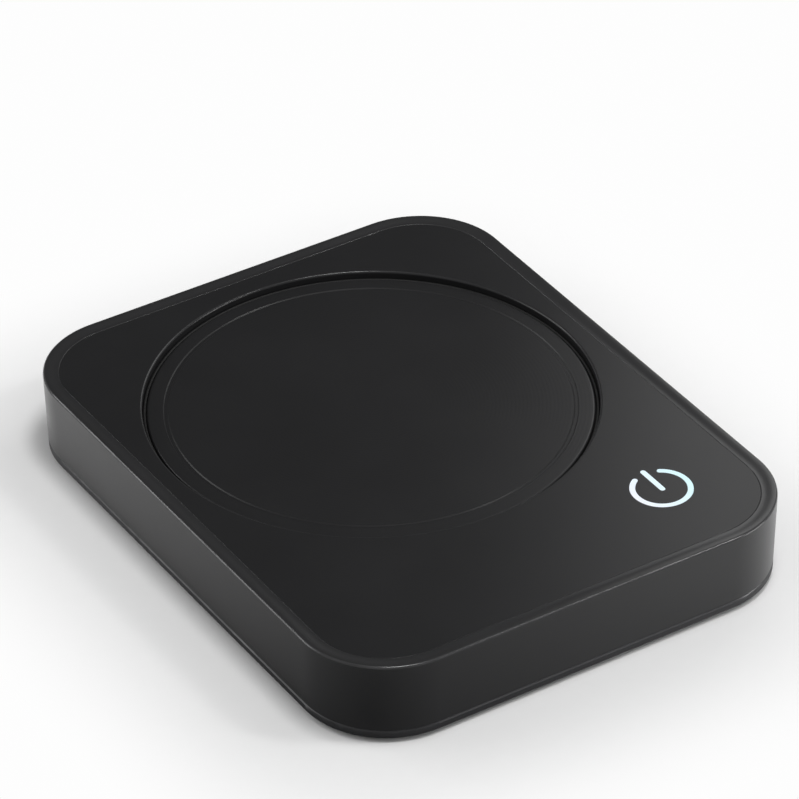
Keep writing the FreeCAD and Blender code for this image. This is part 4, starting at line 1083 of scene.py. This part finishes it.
@dataclass
class TouchPanel:
    """The thin top panel with the seat opening, and the glowing mark that shows through it."""

    inset: float = 3.23
    low: float = 16.1
    high: float = 17.7
    edge: float = 0.08
    lip: float = 0.5
    mark_radius: float = 5.63
    stroke: float = 1.1
    gap_angle: float = 31.0
    bar_length: float = 7.6
    bar_offset: float = 2.95
    slot_play: float = 0.05
    guide_radius: float = 8.6
    guide_bottom: float = 14.3
    guide_chamfer: float = 0.2
    guide_round: float = 0.05
    cut_over: float = 1.0
    root: float = 0.3

    def ring_outline(self, play: float, steps: int = 96, cap_steps: int = 14) -> list[tuple]:
        """The broken ring's outline, with half-round ends.

        Args:
            play: how much wider than the stroke it is on each side.
            steps: facets along the ring.
            cap_steps: facets of each end.

        Returns:
            Pairs of x and y.
        """
        half = self.stroke / 2 + play
        start, end = 90 + self.gap_angle, 450 - self.gap_angle
        points = arc(SLAB.mark_x, SLAB.mark_y, self.mark_radius + half, start, end, steps)
        points += self._cap(end, half, end, cap_steps)
        points += arc(SLAB.mark_x, SLAB.mark_y, self.mark_radius - half, end, start, steps)
        return points + self._cap(start, half, start + 180, cap_steps)

    def _cap(self, at: float, half: float, first: float, steps: int) -> list[tuple]:
        """The half-round end of a stroke, without its two end points.

        Args:
            at: the end's angle on the ring in degrees.
            half: half the stroke's width.
            first: the angle at which the rounding starts.
            steps: facets.

        Returns:
            Pairs of x and y.
        """
        turn = math.radians(at)
        x = SLAB.mark_x + self.mark_radius * math.cos(turn)
        y = SLAB.mark_y + self.mark_radius * math.sin(turn)
        return arc(x, y, half, first, first + 180, steps)[1:-1]

    def bar_outline(self, play: float, steps: int = 16) -> list[tuple]:
        """The bar's outline, with half-round ends.

        Args:
            play: how much wider than the stroke it is on each side.
            steps: facets of each end.

        Returns:
            Pairs of x and y.
        """
        half = self.stroke / 2 + play
        reach = (self.bar_length - self.stroke) / 2
        middle = SLAB.mark_y + self.bar_offset
        return (arc(SLAB.mark_x, middle + reach, half, 0, 180, steps)
                + arc(SLAB.mark_x, middle - reach, half, 180, 360, steps))

    def build(self) -> None:
        """Builds the panel and the light guide."""
        section = [(self.inset, self.low)]
        section += arc(self.inset + self.edge, self.high - self.edge, self.edge, 180, 90, 6)
        loops = [SLAB.outline(inset, z) for inset, z in section]
        lip = arc(SLAB.seat + self.lip, self.high - self.lip, self.lip, 90, 180, 8)
        loops += [SLAB.circle(radius, z) for radius, z in lip]
        loops.append(SLAB.circle(SLAB.seat, self.low))
        panel = skin_over("panel_skin", loops)
        ring = prism("ring_cutter", self.ring_outline(self.slot_play), self.low - self.cut_over,
                     self.high + self.cut_over)
        bar = prism("bar_cutter", self.bar_outline(self.slot_play), self.low - self.cut_over,
                     self.high + self.cut_over)
        combine("DIFFERENCE", panel, ring, bar)
        stand_for(panel, "panel_plastic", "top_panel")
        self._guide()

    def _guide(self) -> None:
        """Builds the disc under the panel and its raised strokes."""
        disc = lathe("mark_guide", [
            (self.guide_radius - self.guide_chamfer, self.guide_bottom),
            (self.guide_radius, self.guide_bottom + self.guide_chamfer),
            (self.guide_radius, self.low - self.guide_round),
            (self.guide_radius - self.guide_round, self.low)],
            (SLAB.mark_x, SLAB.mark_y), 128, False)
        ring = prism("ring_stroke", self.ring_outline(0.0), self.low - self.root, self.high)
        bar = prism("bar_stroke", self.bar_outline(0.0), self.low - self.root, self.high)
        combine("UNION", disc, ring, bar)
        stand_for(disc, "symbol_lens", "symbol_light_guide")


@dataclass
class WarmSeat:
    """The heating plate and the silicone ring round it."""

    top: float = 16.5
    bottom: float = 13.9
    flange_bottom: float = 15.3
    flange: float = 44.3
    body: float = 39.8
    edge: float = 0.6
    groove: float = 40.5
    groove_width: float = 0.8
    groove_depth: float = 0.2
    well: float = 40.5
    ledge: float = 14.5
    seal_outer: float = 45.0
    seal_inner: float = 44.4
    seal_top: float = 16.2
    hub: float = 0.4
    body_chamfer: float = 0.3
    flange_chamfer: float = 0.15
    groove_slope: float = 0.1
    face_rings: tuple = (36.0, 30.0, 20.0, 10.0)

    def build(self) -> None:
        """Builds the plate and its seal."""
        centre = (0.0, SLAB.seat_y)
        half = self.groove_width / 2
        section = [(self.hub, self.bottom), (self.body - self.body_chamfer, self.bottom),
                   (self.body, self.bottom + self.body_chamfer), (self.body, self.flange_bottom),
                   (self.flange - self.flange_chamfer, self.flange_bottom),
                   (self.flange, self.flange_bottom + self.flange_chamfer)]
        section += arc(self.flange - self.edge, self.top - self.edge, self.edge, 0, 90, 8)
        slope = self.groove_slope
        outer, inner = self.groove + half, self.groove - half
        section += [(outer + slope, self.top), (outer, self.top - slope),
                    (outer - slope, self.top - self.groove_depth),
                    (inner + slope, self.top - self.groove_depth),
                    (inner, self.top - slope), (inner - slope, self.top)]
        section += [(reach, self.top) for reach in (*self.face_rings, self.hub)]
        plate = lathe("plate_casting", section, centre, 256, False)
        stand_for(plate, "plate_coating", "heating_plate")
        lip = (self.seal_outer - self.seal_inner) / 2
        seal_section = [(self.well, self.ledge), (self.seal_outer, self.ledge)]
        seal_section += arc(self.seal_outer - lip, self.seal_top - lip, lip, 0, 180, 10)
        seal_section += [(self.seal_inner, self.flange_bottom), (self.well, self.flange_bottom)]
        seal = lathe("seal_ring", seal_section, centre, 256)
        stand_for(seal, "seal_silicone", "plate_seal")


@dataclass
class Underside:
    """Rubber feet, base screws and the bush of the cord hole."""

    repeat: Repeater
    foot: float = 6.0
    foot_thickness: float = 1.8
    foot_round: float = 0.4
    foot_place: float = 38.0
    foot_top_round: float = 0.15
    foot_hub: float = 0.3
    foot_middle: float = 3.0
    tread_rings: tuple = (1.4, 2.8, 4.2)
    tread_width: float = 0.5
    tread_depth: float = 0.12
    screw_x: float = 41.5
    screw_y: float = 54.5
    head: float = 2.5
    head_low: float = 1.3
    head_height: float = 1.5
    shaft: float = 1.3
    length: float = 8.0
    recess: float = 0.8
    recess_width: float = 0.7
    recess_reach: float = 1.5
    turns: int = 9
    gland_z: float = 9.85
    gland_bore: float = 2.5
    gland_neck: float = 3.2
    wall_inside: float = 62.4

    def build(self) -> None:
        """Builds the pieces."""
        self._feet()
        self._screws()
        self._gland()

    def _feet(self) -> None:
        """Four feet with fine rings in the tread."""
        places = {"foot_rear_right": (1, 1), "foot_rear_left": (-1, 1), "foot_front_left": (-1, -1),
                  "foot_front_right": (1, -1)}
        edge, top, deep = self.foot_round, self.foot_top_round, self.tread_depth
        for node, (side_x, side_y) in places.items():
            section = [(self.foot_hub, 0.0)]
            for reach in self.tread_rings:
                end = reach + self.tread_width
                section += [(reach, 0.0), (reach + deep, deep), (end - deep, deep), (end, 0.0)]
            section += arc(self.foot - edge, edge, edge, -90, 0, 8)
            section += arc(self.foot - top, self.foot_thickness - top, top, 0, 90, 4)
            section += [(self.foot_middle, self.foot_thickness), (self.foot_hub, self.foot_thickness)]
            centre = (side_x * self.foot_place, side_y * self.foot_place)
            foot = lathe(node + "_pad", section, centre, 96, False)
            stand_for(foot, "foot_rubber", node)

    def _screws(self) -> None:
        """Four cross-recessed screws with threads."""
        low, high = self.head_low, self.head_low + self.head_height
        section = [(0.2, low), (self.head - 0.45, low), (self.head - 0.12, low + 0.15)]
        section += [(self.head, low + 0.5), (self.head, high), (self.shaft, high)]
        tip = low + self.length
        pitch = (tip - 1.2 - high) / self.turns
        for turn in range(self.turns):
            base = high + turn * pitch
            section += [(self.shaft - 0.22, base + pitch * 0.35), (self.shaft, base + pitch * 0.75)]
        section += [(self.shaft - 0.25, tip - 1.0), (0.35, tip)]
        screw = lathe("screw_template", section, segments=48, closed=False)
        half, reach = self.recess_width / 2, self.recess_reach
        arm = [(half, -reach), (half, -half), (reach, -half)]
        cross = []
        for _ in range(4):
            cross += arm
            arm = [(-y, x) for x, y in arm]
        combine("DIFFERENCE", screw, prism("cross_cutter", cross, low - 0.5, low + self.recess))
        screws = self.repeat.spread("base_fasteners", screw, 2 * self.screw_x, 2 * self.screw_y,
                                    "screw_steel", turn=math.tau)
        stand_for(screws, "screw_steel", "base_screws")

    def _gland(self) -> None:
        """The bush in the rear wall, with its outer bead and inner flange."""
        low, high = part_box("cord_gland")
        inner_end, outer_end = low.y / MM, high.y / MM
        flange = (high.x - low.x) / 2 / MM
        bore, neck = self.gland_bore, self.gland_neck
        section = [(bore, inner_end + 0.3), (bore + 0.3, inner_end), (flange - 0.3, inner_end),
                   (flange, inner_end + 0.3), (flange, self.wall_inside - 0.1), (neck, self.wall_inside),
                   (neck, outer_end - 0.3), (neck - 0.1, outer_end - 0.1), (neck - 0.25, outer_end),
                   (bore + 0.2, outer_end), (bore, outer_end - 0.25)]
        bush = lathe("gland_bush", section, (0.0, 0.0), 96, True, True, self.gland_z)
        stand_for(bush, "gland_rubber", "cord_gland")


class InnerParts:
    """The solids that stay as packed: each gets its finish and smooth shading over welded seams."""

    weld: float = 1e-6

    def dress(self, nodes: dict, slots: dict) -> None:
        """Gives every remaining node its finish.

        Args:
            nodes: node name to object.
            slots: node name to material slot.
        """
        for name, node in nodes.items():
            node.data.materials.clear()
            node.data.materials.append(bpy.data.materials[slots[name]])
            step = node.modifiers.new("weld", "WELD")
            step.merge_threshold = self.weld
            step = node.modifiers.new("facets", "WEIGHTED_NORMAL")
            step.keep_sharp = True
        LOG.info("finished %d packed nodes", len(nodes))


# Studio


@dataclass(frozen=True)
class SoftLight:
    """A rectangular soft light, in metres."""

    name: str
    place: tuple
    target: tuple
    size: tuple
    power: float
    colour: tuple = (1.0, 1.0, 1.0)

    def build(self) -> None:
        """Adds the light to the scene."""
        data = bpy.data.lights.new(self.name, "AREA")
        data.shape = "RECTANGLE"
        data.size, data.size_y = self.size
        data.energy = self.power
        data.color = self.colour
        lamp = bpy.data.objects.new(self.name, data)
        bpy.context.scene.collection.objects.link(lamp)
        lamp.location = self.place
        way = Vector(self.target) - Vector(self.place)
        lamp.rotation_euler = way.to_track_quat("-Z", "Y").to_euler()


@dataclass
class Studio:
    """White surroundings, soft lights, pale floor and the camera."""

    focal_pixels: float = 5218.72
    picture_pixels: float = 799.0
    sensor: float = 36.0
    elevation: float = 35.265
    yaw: float = 32.059
    roll: float = -0.713
    distance: float = 1175.78
    shift_x: float = 0.905
    shift_y: float = -6.35
    unit: float = 104.0 / 120.0
    aim_height: float = 18.0
    ambient: float = 0.45
    backdrop: float = 0.985
    flag_way: tuple = (0.43, 0.69, 0.577)
    flag_level: float = 0.06
    flag_span: tuple = (0.70, 0.965)
    floor_tones: tuple = (0.78, 0.80)
    floor_scale: float = 300.0
    near_corner: tuple = (-0.052, -0.065, 0.0)
    # Painted reflection shade: levels of the floor as glossy rays see it, dark at the near corner and light
    # far off.
    mirror_shade_dark: float = 0.03
    mirror_shade_light: float = 1.0
    painted_mirror_shade_reach: float = 0.125
    fade_start: float = 0.004
    fade_end: float = 0.042
    floor_size: float = 6.0
    lights: tuple = (
        SoftLight("left_box", (-0.50, 0.35, 0.22), (-0.05, 0.04, 0.0), (0.3, 0.3), 0.8),
        SoftLight("right_box", (0.20, 0.09, 0.15), (0.06, -0.04, 0.018), (0.14, 0.14), 0.12),
        SoftLight("front_box", (0.30, -0.26, 0.07), (0.05, -0.05, 0.0), (0.16, 0.10), 0.46),
        SoftLight("top_box", (0.05, -0.15, 1.0), (0.0, 0.0, 0.0), (0.25, 0.25), 4.3),
        SoftLight("edge_box", (0.5, -0.45, 0.75), (0.0, -0.03, 0.0), (0.14, 0.14), 1.5),
        SoftLight("rear_box", (-0.45, 0.75, 0.55), (-0.03, 0.0, 0.0), (0.18, 0.18), 0.8),
    )

    def build(self) -> None:
        """Builds the surroundings, floor, lights and camera."""
        scene = bpy.context.scene
        scene.view_settings.view_transform = "Standard"
        self._world(scene)
        self._floor()
        for light in self.lights:
            light.build()
        self._camera(scene)

    def _world(self, scene: bpy.types.Scene) -> None:
        """White to the camera, softer as a light, and dark in a patch that the level faces mirror.

        Args:
            scene: the scene.
        """
        world = bpy.data.worlds.new("surroundings")
        world.use_nodes = True
        world.node_tree.nodes.clear()
        graph = Graph(world.node_tree)
        path = graph.node("ShaderNodeLightPath")
        way = graph.node("ShaderNodeTexCoord").outputs["Generated"]
        flag = graph.vector("DOT_PRODUCT", way, self.flag_way)
        level = graph.spread(flag, *self.flag_span, self.ambient, self.flag_level, ease=True)
        strength = graph.node("ShaderNodeMix", {0: path.outputs["Is Camera Ray"], 2: level, 3: self.backdrop},
                              data_type="FLOAT").outputs[0]
        back = graph.node("ShaderNodeBackground", {"Color": (1, 1, 1, 1), "Strength": strength})
        graph.node("ShaderNodeOutputWorld", {"Surface": back.outputs[0]})
        scene.world = world

    def _floor(self) -> None:
        """A pale floor that keeps the shadow near the slab and fades to the backdrop.

        Mirrored rays see it with a painted shade, darker close to the near corner.
        """
        half = self.floor_size / 2
        bm = bmesh.new()
        corners = ((-half, -half), (half, -half), (half, half), (-half, half))
        bm.faces.new([bm.verts.new((x, y, 0.0)) for x, y in corners])
        floor = to_object("floor", bm)
        material = bpy.data.materials.new("pale_floor")
        material.use_nodes = True
        material.node_tree.nodes.clear()
        graph = Graph(material.node_tree)
        place = graph.place()
        straight = ((SLAB.width / 2 - SLAB.corner) * MM, (SLAB.depth / 2 - SLAB.corner) * MM, 0.0)
        beyond = graph.vector("SUBTRACT", graph.vector("ABSOLUTE", place), straight)
        reach = graph.vector("LENGTH", graph.vector("MAXIMUM", beyond))
        edge = SLAB.corner * MM
        far = graph.spread(reach, edge + self.fade_start, edge + self.fade_end, ease=True)
        path = graph.node("ShaderNodeLightPath")
        share = graph.math("MULTIPLY", far, path.outputs["Is Camera Ray"])
        weave = graph.noise(place, self.floor_scale, 3.0)
        tone = graph.tint(weave, *(rgba((level, level, level)) for level in self.floor_tones))
        # Painted reflection shade: glossy rays see the floor darker near the slab's near corner, which
        # darkens the walls' mirrored floor there.
        gap = graph.vector("DISTANCE", place, self.near_corner)
        painted_mirror_shade = graph.spread(gap, 0.0, self.painted_mirror_shade_reach, self.mirror_shade_dark, self.mirror_shade_light)
        painted_mirror_shades = graph.node("ShaderNodeCombineColor", {0: painted_mirror_shade, 1: painted_mirror_shade, 2: painted_mirror_shade}).outputs[0]
        tone = graph.tint(path.outputs["Is Glossy Ray"], tone, painted_mirror_shades)
        near = graph.node("ShaderNodeBsdfDiffuse", {"Color": tone})
        glow = graph.node("ShaderNodeEmission", {"Color": (1, 1, 1, 1), "Strength": self.backdrop})
        mixed = graph.node("ShaderNodeMixShader", {0: share, 1: near.outputs[0], 2: glow.outputs[0]})
        graph.node("ShaderNodeOutputMaterial", {"Surface": mixed.outputs[0]})
        floor.data.materials.append(material)

    def _camera(self, scene: bpy.types.Scene) -> None:
        """The picture's own view.

        Args:
            scene: the scene.
        """
        tilt, turn = math.radians(self.elevation), math.radians(self.roll)
        ahead = Vector((0, math.cos(tilt), -math.sin(tilt)))
        right = Vector((1, 0, 0))
        up = Vector((0, math.sin(tilt), math.cos(tilt)))
        place = -self.shift_x * right - self.shift_y * up - self.distance * ahead
        level_right = math.cos(turn) * right + math.sin(turn) * up
        level_up = math.cos(turn) * up - math.sin(turn) * right
        spin = Matrix.Rotation(math.radians(-self.yaw), 3, "Z")
        axes = Matrix((spin @ level_right, spin @ level_up, -(spin @ ahead))).transposed()
        spot = (spin @ place) * self.unit * MM + Vector((0, 0, self.aim_height * MM))
        data = bpy.data.cameras.new("view")
        data.sensor_width = self.sensor
        data.lens = self.focal_pixels * self.sensor / self.picture_pixels
        data.clip_start, data.clip_end = 0.01, 100.0
        camera = bpy.data.objects.new("view", data)
        scene.collection.objects.link(camera)
        camera.matrix_world = Matrix.Translation(spot) @ axes.to_4x4()
        scene.camera = camera


def main() -> None:
    """Builds the looks in order."""
    logging.basicConfig(level=logging.INFO, format="%(name)s: %(message)s")
    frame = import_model()
    slots = {item["node"]: item["material_slot"] for item in frame["record"]["subparts"]}
    Effects.build()
    for finish in FINISHES:
        finish.build()
    LOG.info("built %d finishes", len(FINISHES))
    InnerParts().dress(frame["nodes"], slots)
    repeat = Repeater()
    for part in (Housing(repeat), TouchPanel(), WarmSeat(), Underside(repeat)):
        part.build()
        LOG.info("built %s", type(part).__name__)
    Studio().build()


if __name__ == "__main__":
    main()
